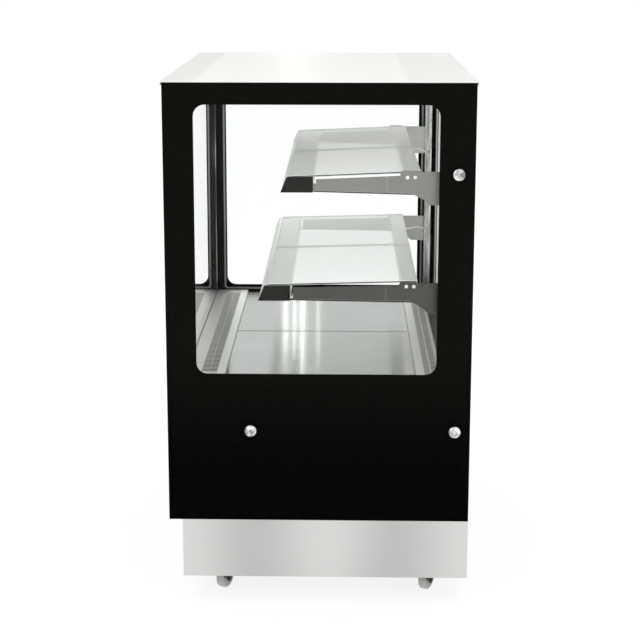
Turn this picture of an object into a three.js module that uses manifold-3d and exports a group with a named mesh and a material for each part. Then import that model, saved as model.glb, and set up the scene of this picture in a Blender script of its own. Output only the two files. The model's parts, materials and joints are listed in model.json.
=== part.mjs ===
import * as THREE from 'three';
import { mergeVertices } from 'three/addons/utils/BufferGeometryUtils.js';
import Module from 'manifold-3d';

// Refrigerated bakery display case with square glass, in millimetres, +Z up.
// X runs along the case, with the right end at +X. The customer's side is -Y and the staff's side,
// with the sliding doors, is +Y. The origin is on the floor under the middle of the top panel.

// ---- Driving dimensions ----
const LENGTH = 914; // over the outer faces of the end glass units
const DEPTH = 683; // over the lips of the top panel
const HEIGHT = 1195; // floor to the top face
const GAP = 0.3; // between pieces that touch

const GLASS_EDGE_Y = 338; // front and rear edges of the end glass units
const GLASS_BOTTOM = 204;
const GLASS_TOP = 1192;
const END_GLASS_THICKNESS = 11;
const FRONT_GLASS_THICKNESS = 13;
const TOP_SHEET = 2.7;
const TOP_LIP_DEPTH = 9.5;

const PLINTH = { x: 449, front: -308, rear: 338, bottom: 66, wall: 2.5, floor: 80, floorThickness: 4 };
const PLINTH_FLANGE = { width: 28, thickness: 3.5 };

const SHELL_REAR = 329.7;
const SHELL_TOP = 524;
const WELL = { x: 405, front: -290, rear: 268, floor: 440, ribHalf: 15, ribDepth: 24 };
const MACHINE_BAY = { x: 435, front: -300, top: 400 };

const DECK = { x: 439, panFront: -212, panRear: 218, panTop: 528.5, stripTop: 534, sheet: 2 };
const FRONT_STRIP_LIP = { y: -301.5, thickness: 3, height: 11 };

const POST = { x: 424, front: -321, rear: -297, wall: 2 };
const UPRIGHT = { centre: 427, halfWidth: 8, front: 276.3, rear: 294, wall: 2 };

const DOOR_FRAME = { front: 306, rear: 337.7, bottom: 500, sillTop: 536, headBottom: 1158, jamb: 22 };
const DOOR_TRACKS = [309, 323]; // nearer edge of the inner and of the outer track
const TRACK_WIDTH = 11;
const SILL_GROOVE = 8;
const HEAD_GROOVE = 22;
const DOOR = { thickness: 10, stile: 28, overlap: 12, bottomGap: 0.5, top: 1168, glass: 4 };

const REAR_PANEL = { front: 330, rear: 335, top: 499.4 };
const SWITCH = { x: [330, 370], y: 328, z: 360, halfWidth: 9.7, faceHalf: 11.9, faceOut: 9, throw: 16 };
const SWITCH_OPENING = { halfWidth: 10, halfHeight: 14.2 };
const CORD_GLAND = { x: -417, z: 252, radius: 10, boreRadius: 4.5, rear: 341 };

const CAP = { radius: 13, thickness: 3.2, studRadius: 5 };
const CAP_SPOTS = { upper_rear: [302, 995], lower_front: [-152, 416], lower_rear: [303, 416] };
const STUD_HOLE_RADIUS = 5.3;

const CASTER = { x: 376, front: -232, rear: 240, trail: 22, wheelRadius: 25, wheelWidth: 20 };
const CASTER_FORK = { crownBottom: 55, crownTop: 66, crownRadius: 19, pinRadius: 6, cheek: 2.5 };
const CASTER_AXLE_RADIUS = 4;
const CASTER_REST_DEGREES = { front_right: 150, rear_right: 150, front_left: 205, rear_left: 165 };

const SHELF_PLATE = { centre: 427, thickness: 3 };
const SHELF_RAIL = { topWidth: 57, height: 33.5, slant: 13.5, halfLength: 424 };
const SHELF_GLASS = { thickness: 5, halfLength: 422.7, armClearance: 4.5 };
const REAR_RAIL_WIDTH = 35;
const REAR_RAIL_DROP = 13;
const HOOK_REAR = 276;
const HOOK_DROP = 27.7;

// Each tier: top front edge of its rail, and the front and rear edges of its glass, as [Y, Z].
const SHELVES = {
  upper: {
    railFront: -70.3,
    railTop: 984.9,
    glassFront: [-68, 986.7],
    glassRear: [221.5, 999.5],
    armRearBottom: 946.6,
    hookTop: 999.5,
  },
  lower: {
    railFront: -120.9,
    railTop: 742,
    glassFront: [-114, 745.6],
    glassRear: [217.4, 754.9],
    armRearBottom: 705.6,
    hookTop: 751.7,
  },
};

// Each shelf's lamp lead, from the rear of its rear rail to the side of the left upright.
const LEAD_RADIUS = 1.6;
const LEAD_ROUTES = {
  upper: [
    [0, 222, 991.5],
    [-7, 229.5, 991],
    [-30, 236, 988],
    [-130, 246, 975],
    [-240, 259, 957],
    [-340, 272, 941],
    [-395, 281, 932],
    [-418.4, 286, 928],
  ],
  lower: [
    [-250, 217.9, 745],
    [-255, 225, 745],
    [-275, 235, 743],
    [-320, 248, 737],
    [-370, 266, 726],
    [-402, 280, 718],
    [-418.4, 286, 714.5],
  ],
};

const EVAPORATOR = { x0: -385, coilEnd: -5, x1: 205, front: -165, rear: 25, trayTop: 442.6, top: 498 };
const EVAPORATOR_FAN = { x: 100, y: -70, radius: 66, hubRadius: 20, bottom: 472, hubHeight: 20 };
const CONDENSER = { x0: 150, x1: 200, front: -120, rear: 200, bottom: 84.3, top: 380 };
const CONDENSER_FAN = { y: 40, z: 232, radius: 118, hubRadius: 26, front: 104, hubHeight: 26 };
const COMPRESSOR = { x: -150, y: 90, radius: 86, height: 190, plateHalf: 100 };

// ---- Finishes: colour, roughness, metalness ----
const FINISHES = {
  brushedSteel: [0xc9cbc8, 0.35, 1],
  brightSteel: [0xe6e8e6, 0.22, 1],
  greySteel: [0x83847d, 0.4, 0.8],
  aluminium: [0xb9bcba, 0.4, 0.9],
  blackShell: [0x17170f, 0.45, 0.1],
  blackGlass: [0x0b0b08, 0.06, 0.1],
  clearGlass: [0xe0e5e0, 0.05, 0],
  darkPlastic: [0x30312c, 0.55, 0],
  blackPlastic: [0x141412, 0.4, 0],
  wheelGrey: [0xa8a9a3, 0.6, 0],
  whiteLead: [0xdcdcd6, 0.5, 0],
};

const display_case = new THREE.Group();
const wasm = await Module();
wasm.setup();

function addPart(name, geometry, finish, parent = display_case) {
  const [color, roughness, metalness] = FINISHES[finish];
  const mesh = new THREE.Mesh(geometry, new THREE.MeshStandardMaterial({ color, roughness, metalness }));
  mesh.name = name;
  parent.add(mesh);
  return mesh;
}

// ---- Solids ----
function outline(points, holes = []) {
  const shape = new THREE.Shape(points.map(([u, v]) => new THREE.Vector2(u, v)));
  shape.holes = holes.map((hole) => new THREE.Path(hole.map(([u, v]) => new THREE.Vector2(u, v))));
  return shape;
}

function rectangle(u0, u1, v0, v1) {
  return [[u0, v0], [u1, v0], [u1, v1], [u0, v1]];
}

function circle(u, v, radius, sides = 16) {
  return Array.from({ length: sides }, (_, index) => {
    const angle = (index * 2 * Math.PI) / sides;
    return [u + radius * Math.cos(angle), v + radius * Math.sin(angle)];
  });
}

// Extrudes an outline along an axis. It is drawn in (Y, Z) for x, in (X, Z) for y and in (X, Y) for z.
function prism(axis, shape, from, to) {
  const geometry = new THREE.ExtrudeGeometry(shape, { depth: to - from, bevelEnabled: false });
  const x = new THREE.Vector3(1, 0, 0);
  const y = new THREE.Vector3(0, 1, 0);
  const z = new THREE.Vector3(0, 0, 1);
  if (axis === 'x') {
    geometry.translate(0, 0, from);
    geometry.applyMatrix4(new THREE.Matrix4().makeBasis(y, z, x));
  } else if (axis === 'y') {
    geometry.translate(0, 0, -to);
    geometry.applyMatrix4(new THREE.Matrix4().makeBasis(x, z, y.clone().negate()));
  } else {
    geometry.translate(0, 0, from);
  }
  return geometry;
}

function block(x0, x1, y0, y1, z0, z1) {
  const geometry = new THREE.BoxGeometry(x1 - x0, y1 - y0, z1 - z0);
  return geometry.translate((x0 + x1) / 2, (y0 + y1) / 2, (z0 + z1) / 2);
}

function rod(axis, u, v, radius, from, to, sides = 16) {
  return prism(axis, outline(circle(u, v, radius, sides)), from, to);
}

// Turns a [radius, height] profile about the Y axis.
function turned(profile, sides) {
  return new THREE.LatheGeometry(profile.map(([radius, height]) => new THREE.Vector2(radius, height)), sides);
}

function toSolid(geometry) {
  const bare = geometry.clone();
  bare.deleteAttribute('normal');
  bare.deleteAttribute('uv');
  const welded = mergeVertices(bare, 1e-4);
  const corners = welded.index.array;
  const triVerts = [];
  for (let i = 0; i < corners.length; i += 3) {
    const [a, b, c] = [corners[i], corners[i + 1], corners[i + 2]];
    if (a !== b && b !== c && c !== a) triVerts.push(a, b, c);
  }
  return new wasm.Manifold(
    new wasm.Mesh({
      numProp: 3,
      vertProperties: Float32Array.from(welded.attributes.position.array),
      triVerts: Uint32Array.from(triVerts),
    }),
  );
}

function toGeometry(solid) {
  const mesh = solid.getMesh();
  const geometry = new THREE.BufferGeometry();
  geometry.setAttribute('position', new THREE.BufferAttribute(mesh.vertProperties, 3));
  geometry.setIndex(new THREE.BufferAttribute(mesh.triVerts, 1));
  return geometry;
}

function shaped(added, removed = []) {
  let solid = toSolid(added[0]);
  for (const geometry of added.slice(1)) solid = solid.add(toSolid(geometry));
  for (const geometry of removed) solid = solid.subtract(toSolid(geometry));
  return toGeometry(solid);
}

// The two ends of the case, as the sign of X and the name of the side.
const SIDES = [[1, 'right'], [-1, 'left']];

function mirroredSpan(sign, inner, outer) {
  return sign > 0 ? [inner, outer] : [-outer, -inner];
}

// ---- Plinth and casters ----
function addPlinth() {
  const { x, front, rear, bottom, wall, floor, floorThickness } = PLINTH;
  const top = GLASS_BOTTOM - GAP;
  const { width, thickness } = PLINTH_FLANGE;
  const skirtHole = rectangle(-x + wall, x - wall, front + wall, rear - wall);
  const flangeHole = rectangle(-x + width, x - width, front + width, rear - width);
  const skirt = prism('z', outline(rectangle(-x, x, front, rear), [skirtHole]), bottom, top);
  const flange = prism('z', outline(rectangle(-x + 1, x - 1, front + 1, rear - 1), [flangeHole]),
    top - thickness, top);
  const floorPlate = block(-x + 1, x - 1, front + 1, rear - 1, floor, floor + floorThickness);
  const housings = [];
  const bores = [];
  for (const centreX of [-CASTER.x, CASTER.x]) {
    for (const centreY of [CASTER.front, CASTER.rear]) {
      housings.push(rod('z', centreX, centreY, 23, CASTER_FORK.crownTop + 1, floor + 1, 20));
      bores.push(rod('z', centreX, centreY, CASTER_FORK.pinRadius + GAP, bottom - 10, floor, 16));
    }
  }
  addPart('base_frame', shaped([skirt, flange, floorPlate, ...housings], bores), 'brushedSteel');
}

function forkSolid() {
  const { crownBottom, crownTop, crownRadius, pinRadius, cheek } = CASTER_FORK;
  const { trail, wheelRadius, wheelWidth } = CASTER;
  const cheekInner = wheelWidth / 2 + 1.5;
  const cheekOutline = [
    [-14, crownBottom + 1],
    [trail - 9, wheelRadius - 4],
    [trail - 5, wheelRadius - 8],
    [trail + 5, wheelRadius - 8],
    [trail + 9, wheelRadius - 2],
    [trail + 4, crownBottom + 1],
  ];
  const cheekOuter = cheekInner + cheek;
  const crownTab = block(-14, trail + 3, -cheekOuter, cheekOuter, crownBottom, crownBottom + 3);
  return shaped([
    rod('z', 0, 0, crownRadius, crownBottom, crownTop, 20),
    rod('z', 0, 0, pinRadius, crownTop - 1, PLINTH.floor - GAP, 16),
    crownTab,
    prism('y', outline(cheekOutline), cheekInner, cheekInner + cheek),
    prism('y', outline(cheekOutline), -cheekInner - cheek, -cheekInner),
    rod('y', trail, wheelRadius, CASTER_AXLE_RADIUS, -cheekInner - cheek - 3, cheekInner + cheek + 3, 12),
  ]);
}

function wheelSolid() {
  const bore = CASTER_AXLE_RADIUS + GAP;
  const radius = CASTER.wheelRadius;
  const half = CASTER.wheelWidth / 2;
  return turned([
    [bore, -half],
    [9, -half],
    [11, -half + 2],
    [radius - 7, -half + 2],
    [radius - 4, -half + 0.5],
    [radius, -half + 4],
    [radius, half - 4],
    [radius - 4, half - 0.5],
    [radius - 7, half - 2],
    [11, half - 2],
    [9, half],
    [bore, half],
    [bore, -half],
  ], 24);
}

function addCasters() {
  for (const [sign, side] of SIDES) {
    for (const end of ['front', 'rear']) {
      const corner = `${end}_${side}`;
      const caster = new THREE.Group();
      caster.position.set(sign * CASTER.x, CASTER[end], 0);
      caster.rotation.z = THREE.MathUtils.degToRad(CASTER_REST_DEGREES[corner]);
      addPart(`caster_fork_${corner}`, forkSolid(), 'darkPlastic', caster);
      const wheel = addPart(`caster_wheel_${corner}`, wheelSolid(), 'wheelGrey', caster);
      wheel.position.set(CASTER.trail, 0, CASTER.wheelRadius);
      display_case.add(caster);
    }
  }
}

// ---- Insulated lower shell: machine bay below, evaporator well above ----
function addLowerShell() {
  const x = LENGTH / 2 - END_GLASS_THICKNESS - GAP;
  const front = -GLASS_EDGE_Y + FRONT_GLASS_THICKNESS + GAP;
  const doorFront = DOOR_FRAME.front - GAP;
  const sideOutline = [
    [front, GLASS_BOTTOM],
    [SHELL_REAR, GLASS_BOTTOM],
    [SHELL_REAR, DOOR_FRAME.bottom - GAP],
    [doorFront, DOOR_FRAME.bottom - GAP],
    [doorFront, SHELL_TOP],
    [front, SHELL_TOP],
  ];
  const outside = prism('x', outline(sideOutline), -x, x);
  const machineBay = block(-MACHINE_BAY.x, MACHINE_BAY.x, MACHINE_BAY.front, SHELL_REAR + 50,
    GLASS_BOTTOM - 50, MACHINE_BAY.top);
  const wells = [-1, 1].map((sign) => {
    const [x0, x1] = mirroredSpan(sign, WELL.ribHalf, WELL.x);
    return block(x0, x1, WELL.front, WELL.rear, WELL.floor, SHELL_TOP + 50);
  });
  const underRib = block(-WELL.ribHalf - 1, WELL.ribHalf + 1, WELL.front, WELL.rear, WELL.floor,
    SHELL_TOP - WELL.ribDepth);
  addPart('lower_shell', shaped([outside], [machineBay, ...wells, underRib]), 'blackShell');
}

// ---- Glass, posts and top ----
function addEndGlass() {
  const face = rectangle(-GLASS_EDGE_Y, GLASS_EDGE_Y, GLASS_BOTTOM, GLASS_TOP);
  const studHoles = Object.values(CAP_SPOTS).map(([y, z]) => circle(y, z, STUD_HOLE_RADIUS, 16));
  for (const [sign, side] of SIDES) {
    const [x0, x1] = mirroredSpan(sign, LENGTH / 2 - END_GLASS_THICKNESS, LENGTH / 2);
    addPart(`${side}_end_glass`, prism('x', outline(face, studHoles), x0, x1), 'blackGlass');
  }
}

function capSolid() {
  const { radius, thickness, studRadius } = CAP;
  return turned([
    [0, -END_GLASS_THICKNESS],
    [studRadius, -END_GLASS_THICKNESS],
    [studRadius, GAP],
    [radius, GAP],
    [radius, GAP + thickness - 1.2],
    [radius - 1.2, GAP + thickness],
    [0, GAP + thickness],
  ], 20);
}

function addStandoffCaps() {
  for (const [sign, side] of SIDES) {
    for (const [spot, [y, z]] of Object.entries(CAP_SPOTS)) {
      const cap = addPart(`${side}_cap_${spot}`, capSolid(), 'brushedSteel');
      cap.position.set((sign * LENGTH) / 2, y, z);
      cap.rotation.z = (-sign * Math.PI) / 2;
    }
  }
}

function addFrontGlass() {
  const x = LENGTH / 2 - END_GLASS_THICKNESS - GAP;
  const rear = -GLASS_EDGE_Y + FRONT_GLASS_THICKNESS;
  addPart('front_glass', block(-x, x, -GLASS_EDGE_Y, rear, GLASS_BOTTOM, GLASS_TOP), 'blackGlass');
}

function addFrontPosts() {
  const outer = LENGTH / 2 - END_GLASS_THICKNESS - GAP;
  const { x, front, rear, wall } = POST;
  for (const [sign, side] of SIDES) {
    const [x0, x1] = mirroredSpan(sign, x, outer);
    const hollow = rectangle(x0 + wall, x1 - wall, front + wall, rear - wall);
    const section = outline(rectangle(x0, x1, front, rear), [hollow]);
    addPart(`front_post_${side}`, prism('z', section, SHELL_TOP + GAP, GLASS_TOP), 'aluminium');
  }
}

function addRearUprights() {
  const { centre, halfWidth, front, rear, wall } = UPRIGHT;
  for (const [sign, side] of SIDES) {
    const [x0, x1] = mirroredSpan(sign, centre - halfWidth, centre + halfWidth);
    const channel = outline([
      [x0, front],
      [x1, front],
      [x1, rear],
      [x1 - wall, rear],
      [x1 - wall, front + wall],
      [x0 + wall, front + wall],
      [x0 + wall, rear],
      [x0, rear],
    ]);
    addPart(`rear_upright_${side}`, prism('z', channel, SHELL_TOP + GAP, GLASS_TOP), 'brightSteel');
  }
}

function addTop() {
  const x = LENGTH / 2;
  const y = DEPTH / 2;
  const underside = HEIGHT - TOP_SHEET;
  const lipBottom = HEIGHT - TOP_LIP_DEPTH;
  const section = outline([
    [-y, lipBottom],
    [-y + TOP_SHEET, lipBottom],
    [-y + TOP_SHEET, underside],
    [y - TOP_SHEET, underside],
    [y - TOP_SHEET, lipBottom],
    [y, lipBottom],
    [y, HEIGHT],
    [-y, HEIGHT],
  ]);
  addPart('top_panel', prism('x', section, -x, x), 'brightSteel');

  const lampFront = POST.rear + 4;
  const lampTop = underside - GAP;
  const lampSection = outline([
    [lampFront, lampTop - 10],
    [lampFront + 10, lampTop - 24],
    [lampFront + 34, lampTop - 24],
    [lampFront + 44, lampTop - 12],
    [lampFront + 44, lampTop],
    [lampFront, lampTop],
  ]);
  addPart('top_light', prism('x', lampSection, -POST.x + GAP, POST.x - GAP), 'aluminium');
}

// ---- Rear sliding doors ----
function addDoorFrame() {
  const { front, rear, bottom, sillTop, headBottom, jamb } = DOOR_FRAME;
  const outer = LENGTH / 2 - END_GLASS_THICKNESS - GAP;
  const sill = outline([
    [front, bottom],
    [rear, bottom],
    [rear, sillTop],
    ...[...DOOR_TRACKS].reverse().flatMap((track) => [
      [track + TRACK_WIDTH, sillTop],
      [track + TRACK_WIDTH, sillTop - SILL_GROOVE],
      [track, sillTop - SILL_GROOVE],
      [track, sillTop],
    ]),
    [front, sillTop],
  ]);
  const head = outline([
    [front, headBottom],
    ...DOOR_TRACKS.flatMap((track) => [
      [track, headBottom],
      [track, headBottom + HEAD_GROOVE],
      [track + TRACK_WIDTH, headBottom + HEAD_GROOVE],
      [track + TRACK_WIDTH, headBottom],
    ]),
    [rear, headBottom],
    [rear, GLASS_TOP],
    [front, GLASS_TOP],
  ]);
  const jambs = SIDES.map(([sign]) => {
    const [x0, x1] = mirroredSpan(sign, outer - jamb, outer);
    return block(x0, x1, front, rear, bottom, GLASS_TOP);
  });
  const rails = [sill, head].map((profile) => prism('x', profile, -outer + 1, outer - 1));
  const frame = shaped([...rails, ...jambs]);
  addPart('rear_door_frame', frame, 'aluminium');
}

function addDoor(side, sign, track) {
  const outer = LENGTH / 2 - END_GLASS_THICKNESS - GAP - DOOR_FRAME.jamb - 0.5;
  const [x0, x1] = mirroredSpan(sign, -DOOR.overlap, outer);
  const z0 = DOOR_FRAME.sillTop - SILL_GROOVE + DOOR.bottomGap;
  const front = track + (TRACK_WIDTH - DOOR.thickness) / 2;
  const inner = [x0 + DOOR.stile, x1 - DOOR.stile, z0 + DOOR.stile + SILL_GROOVE, DOOR.top - DOOR.stile];
  const ring = outline(rectangle(x0, x1, z0, DOOR.top), [rectangle(...inner)]);
  addPart(`${side}_door_frame`, prism('y', ring, front, front + DOOR.thickness), 'aluminium');

  const paneFront = front + (DOOR.thickness - DOOR.glass) / 2;
  const pane = block(inner[0] + GAP, inner[1] - GAP, paneFront, paneFront + DOOR.glass,
    inner[2] + GAP, inner[3] - GAP);
  addPart(`${side}_door_glass`, pane, 'clearGlass');
}

function addRearPanel() {
  const x = LENGTH / 2 - END_GLASS_THICKNESS - GAP;
  const { halfWidth, halfHeight } = SWITCH_OPENING;
  const openings = SWITCH.x.map((centre) => block(centre - halfWidth, centre + halfWidth,
    REAR_PANEL.front - 1, REAR_PANEL.rear + 1, SWITCH.z - halfHeight, SWITCH.z + halfHeight));
  const panel = block(-x, x, REAR_PANEL.front, REAR_PANEL.rear, GLASS_BOTTOM + GAP, REAR_PANEL.top);
  const { radius, boreRadius, rear } = CORD_GLAND;
  const gland = rod('y', CORD_GLAND.x, CORD_GLAND.z, radius, REAR_PANEL.front + 1, rear, 32);
  const bore = rod('y', CORD_GLAND.x, CORD_GLAND.z, boreRadius, REAR_PANEL.front - 1, rear + 1, 24);
  addPart('machine_grille', shaped([panel, gland], [...openings, bore]), 'blackShell');

  const { faceHalf, faceOut, halfWidth: rockerHalf } = SWITCH;
  const tilt = THREE.MathUtils.degToRad(SWITCH.throw / 2);
  const wing = faceHalf * Math.tan(tilt);
  const rocker = outline([
    [0, -8],
    [faceOut + wing, -faceHalf],
    [faceOut, 0],
    [faceOut + wing, faceHalf],
    [0, 8],
    [-5, 0],
  ]);
  ['light_switch', 'power_switch'].forEach((name, index) => {
    const mesh = addPart(name, prism('x', rocker, -rockerHalf, rockerHalf), 'blackPlastic');
    mesh.position.set(SWITCH.x[index], SWITCH.y, SWITCH.z);
    mesh.rotation.x = -tilt;
  });
}

// ---- Display deck ----
function addDeck() {
  const { x, panFront, panRear, panTop, stripTop, sheet } = DECK;
  const bottom = SHELL_TOP + GAP;
  const postEdge = POST.x - GAP;
  const notchY = POST.rear + GAP;
  const frontEdge = -GLASS_EDGE_Y + FRONT_GLASS_THICKNESS + GAP;
  const panGap = 0.5;
  const frontPlan = outline([
    [-postEdge, frontEdge],
    [postEdge, frontEdge],
    [postEdge, notchY],
    [x, notchY],
    [x, panFront - panGap],
    [-x, panFront - panGap],
    [-x, notchY],
    [-postEdge, notchY],
  ]);
  const lipRear = FRONT_STRIP_LIP.y + FRONT_STRIP_LIP.thickness;
  const lipTop = stripTop + FRONT_STRIP_LIP.height;
  const lip = block(-postEdge + 1, postEdge - 1, FRONT_STRIP_LIP.y, lipRear, stripTop - 1, lipTop);
  const frontStrip = prism('z', frontPlan, stripTop - sheet, stripTop);
  const legs = [-1, 1].map((sign) => {
    const [x0, x1] = mirroredSpan(sign, x - sheet, x);
    return block(x0, x1, notchY, panFront - panGap, bottom, stripTop - 1);
  });
  const panSideLeg = block(-x, x, panFront - panGap - sheet, panFront - panGap, bottom, stripTop - 1);
  addPart('front_grille', shaped([frontStrip, lip, panSideLeg, ...legs]), 'brushedSteel');

  const rearEdge = UPRIGHT.front - 0.6;
  const rearStrip = outline([
    [panRear + panGap, bottom],
    [panRear + panGap + sheet, bottom],
    [panRear + panGap + sheet, stripTop - sheet],
    [rearEdge - sheet, stripTop - sheet],
    [rearEdge - sheet, bottom],
    [rearEdge, bottom],
    [rearEdge, stripTop],
    [panRear + panGap, stripTop],
  ]);
  addPart('rear_grille', prism('x', rearStrip, -x, x), 'brushedSteel');

  for (const [sign, side] of SIDES) {
    const [x0, x1] = mirroredSpan(sign, panGap, x);
    const tray = block(x0, x1, panFront, panRear, bottom, panTop);
    const underTop = panTop - sheet;
    const under = block(x0 + sheet, x1 - sheet, panFront + sheet, panRear - sheet, bottom - 10, underTop);
    addPart(`deck_pan_${side}`, shaped([tray], [under]), 'brushedSteel');
  }
}

// ---- Shelves ----
// Height of the glass underside of a tier at a given Y.
function glassUnderside(tier, y) {
  const [frontY, frontZ] = tier.glassFront;
  const [rearY, rearZ] = tier.glassRear;
  const slope = (rearZ - frontZ) / (rearY - frontY);
  return frontZ + slope * (y - frontY) - (SHELF_GLASS.thickness / 2) * Math.hypot(1, slope);
}

function addShelfRails(name, tier) {
  const { topWidth, height, slant, halfLength } = SHELF_RAIL;
  const railRear = tier.railFront + topWidth;
  const railBottom = tier.railTop - height;
  const railSection = [
    [tier.railFront - slant, railBottom],
    [railRear, railBottom],
    [railRear, glassUnderside(tier, railRear) - GAP],
    [tier.railFront, glassUnderside(tier, tier.railFront) - GAP],
  ];
  addPart(`${name}_shelf_front_rail`, prism('x', outline(railSection), -halfLength, halfLength), 'aluminium');

  const capOuter = SHELF_PLATE.centre + SHELF_PLATE.thickness / 2;
  const capSection = outline([
    [tier.railFront - slant - 1, railBottom - 1],
    [railRear, railBottom - 1],
    [railRear, tier.railTop + 0.5],
    [tier.railFront - 0.5, tier.railTop],
  ]);
  const rearRailRear = tier.glassRear[0] - 0.5;
  const rearRailFront = rearRailRear - REAR_RAIL_WIDTH;
  const rearRailBottom = tier.railTop - REAR_RAIL_DROP;
  const rearSection = outline([
    [rearRailFront, rearRailBottom],
    [rearRailRear, rearRailBottom],
    [rearRailRear, glassUnderside(tier, rearRailRear) - GAP],
    [rearRailFront, glassUnderside(tier, rearRailFront) - GAP],
  ]);
  const rearHalf = SHELF_PLATE.centre - SHELF_PLATE.thickness / 2 - GAP;
  addPart(`${name}_shelf_rear_rail`, prism('x', rearSection, -rearHalf, rearHalf), 'aluminium');

  for (const [sign, side] of SIDES) {
    const [x0, x1] = mirroredSpan(sign, halfLength + GAP, capOuter);
    addPart(`${name}_shelf_cap_${side}`, prism('x', capSection, x0, x1), 'darkPlastic');
  }
}

function addShelfBrackets(name, tier) {
  const armFront = tier.railFront + SHELF_RAIL.topWidth + GAP;
  const railBottom = tier.railTop - SHELF_RAIL.height;
  const hookBottom = railBottom - HOOK_DROP;
  const armTop = (y) => glassUnderside(tier, y) - SHELF_GLASS.armClearance;
  const plate = outline([
    [armFront, railBottom + 1],
    [202.5, tier.armRearBottom],
    [232, hookBottom + 9.5],
    [238, hookBottom + 3],
    [247, hookBottom],
    [HOOK_REAR, hookBottom],
    [HOOK_REAR, tier.hookTop - 2.5],
    [216, tier.hookTop - 2.5],
    [214, tier.hookTop],
    [180, tier.hookTop],
    [176, armTop(176)],
    [armFront, armTop(armFront)],
  ]);
  for (const [sign, side] of SIDES) {
    const middle = sign * SHELF_PLATE.centre;
    const half = SHELF_PLATE.thickness / 2;
    addPart(`${name}_shelf_bracket_${side}`, prism('x', plate, middle - half, middle + half), 'greySteel');
  }
}

function addShelfGlass(name, tier) {
  const front = new THREE.Vector2(...tier.glassFront);
  const rear = new THREE.Vector2(...tier.glassRear);
  const along = rear.clone().sub(front).normalize();
  const up = new THREE.Vector2(-along.y, along.x).multiplyScalar(SHELF_GLASS.thickness / 2);
  const section = outline([
    front.clone().sub(up).toArray(),
    rear.clone().sub(up).toArray(),
    rear.clone().add(up).toArray(),
    front.clone().add(up).toArray(),
  ]);
  for (const [sign, side] of SIDES) {
    const [x0, x1] = mirroredSpan(sign, 0.5, SHELF_GLASS.halfLength);
    addPart(`${name}_shelf_glass_${side}`, prism('x', section, x0, x1), 'clearGlass');
  }
}

function addShelfLead(name) {
  const route = new THREE.CatmullRomCurve3(LEAD_ROUTES[name].map((point) => new THREE.Vector3(...point)));
  const section = outline(circle(0, 0, LEAD_RADIUS, 8));
  const tube = new THREE.ExtrudeGeometry(section, { steps: 30, bevelEnabled: false, extrudePath: route });
  addPart(`${name}_shelf_lead`, tube, 'whiteLead');
}

function addShelves() {
  for (const [name, tier] of Object.entries(SHELVES)) {
    addShelfRails(name, tier);
    addShelfBrackets(name, tier);
    addShelfGlass(name, tier);
    addShelfLead(name);
  }
}

// ---- Refrigeration ----
// A fan rotor about +Z with its hub standing on z = 0.
function rotorSolid(radius, hubRadius, hubHeight, blades, pitchDegrees) {
  const pieces = [rod('z', 0, 0, hubRadius, 0, hubHeight, 20)];
  const span = radius - hubRadius + 3;
  for (let index = 0; index < blades; index += 1) {
    const blade = new THREE.BoxGeometry(span, radius * 0.55, 2);
    blade.rotateX(THREE.MathUtils.degToRad(pitchDegrees));
    blade.translate(hubRadius - 3 + span / 2, 0, hubHeight / 2);
    blade.rotateZ((index * 2 * Math.PI) / blades);
    pieces.push(blade);
  }
  return shaped(pieces);
}

function addEvaporator() {
  const { x0, coilEnd, x1, front, rear, trayTop, top } = EVAPORATOR;
  const fan = EVAPORATOR_FAN;
  const trayBottom = WELL.floor + GAP;
  const trayHole = circle(fan.x, fan.y, fan.radius + 5, 24);
  const fanPlate = outline(rectangle(coilEnd - 1, x1, front, rear), [trayHole]);
  const evaporator = shaped([
    block(x0 - 8, x1 + 8, front - 8, rear + 8, trayBottom, trayTop),
    block(x0, coilEnd, front, rear, trayTop - 1, top),
    prism('z', fanPlate, fan.bottom + fan.hubHeight - 2, fan.bottom + fan.hubHeight + 1),
    block(x1 - 3, x1, front, rear, trayTop - 1, fan.bottom + fan.hubHeight),
    rod('z', fan.x, fan.y, 18, trayTop - 1, fan.bottom - GAP, 16),
  ]);
  addPart('evaporator', evaporator, 'aluminium');
  const rotorShape = rotorSolid(fan.radius, fan.hubRadius, fan.hubHeight, 5, 28);
  const rotor = addPart('evaporator_fan', rotorShape, 'blackPlastic');
  rotor.position.set(fan.x, fan.y, fan.bottom);
}

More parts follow.
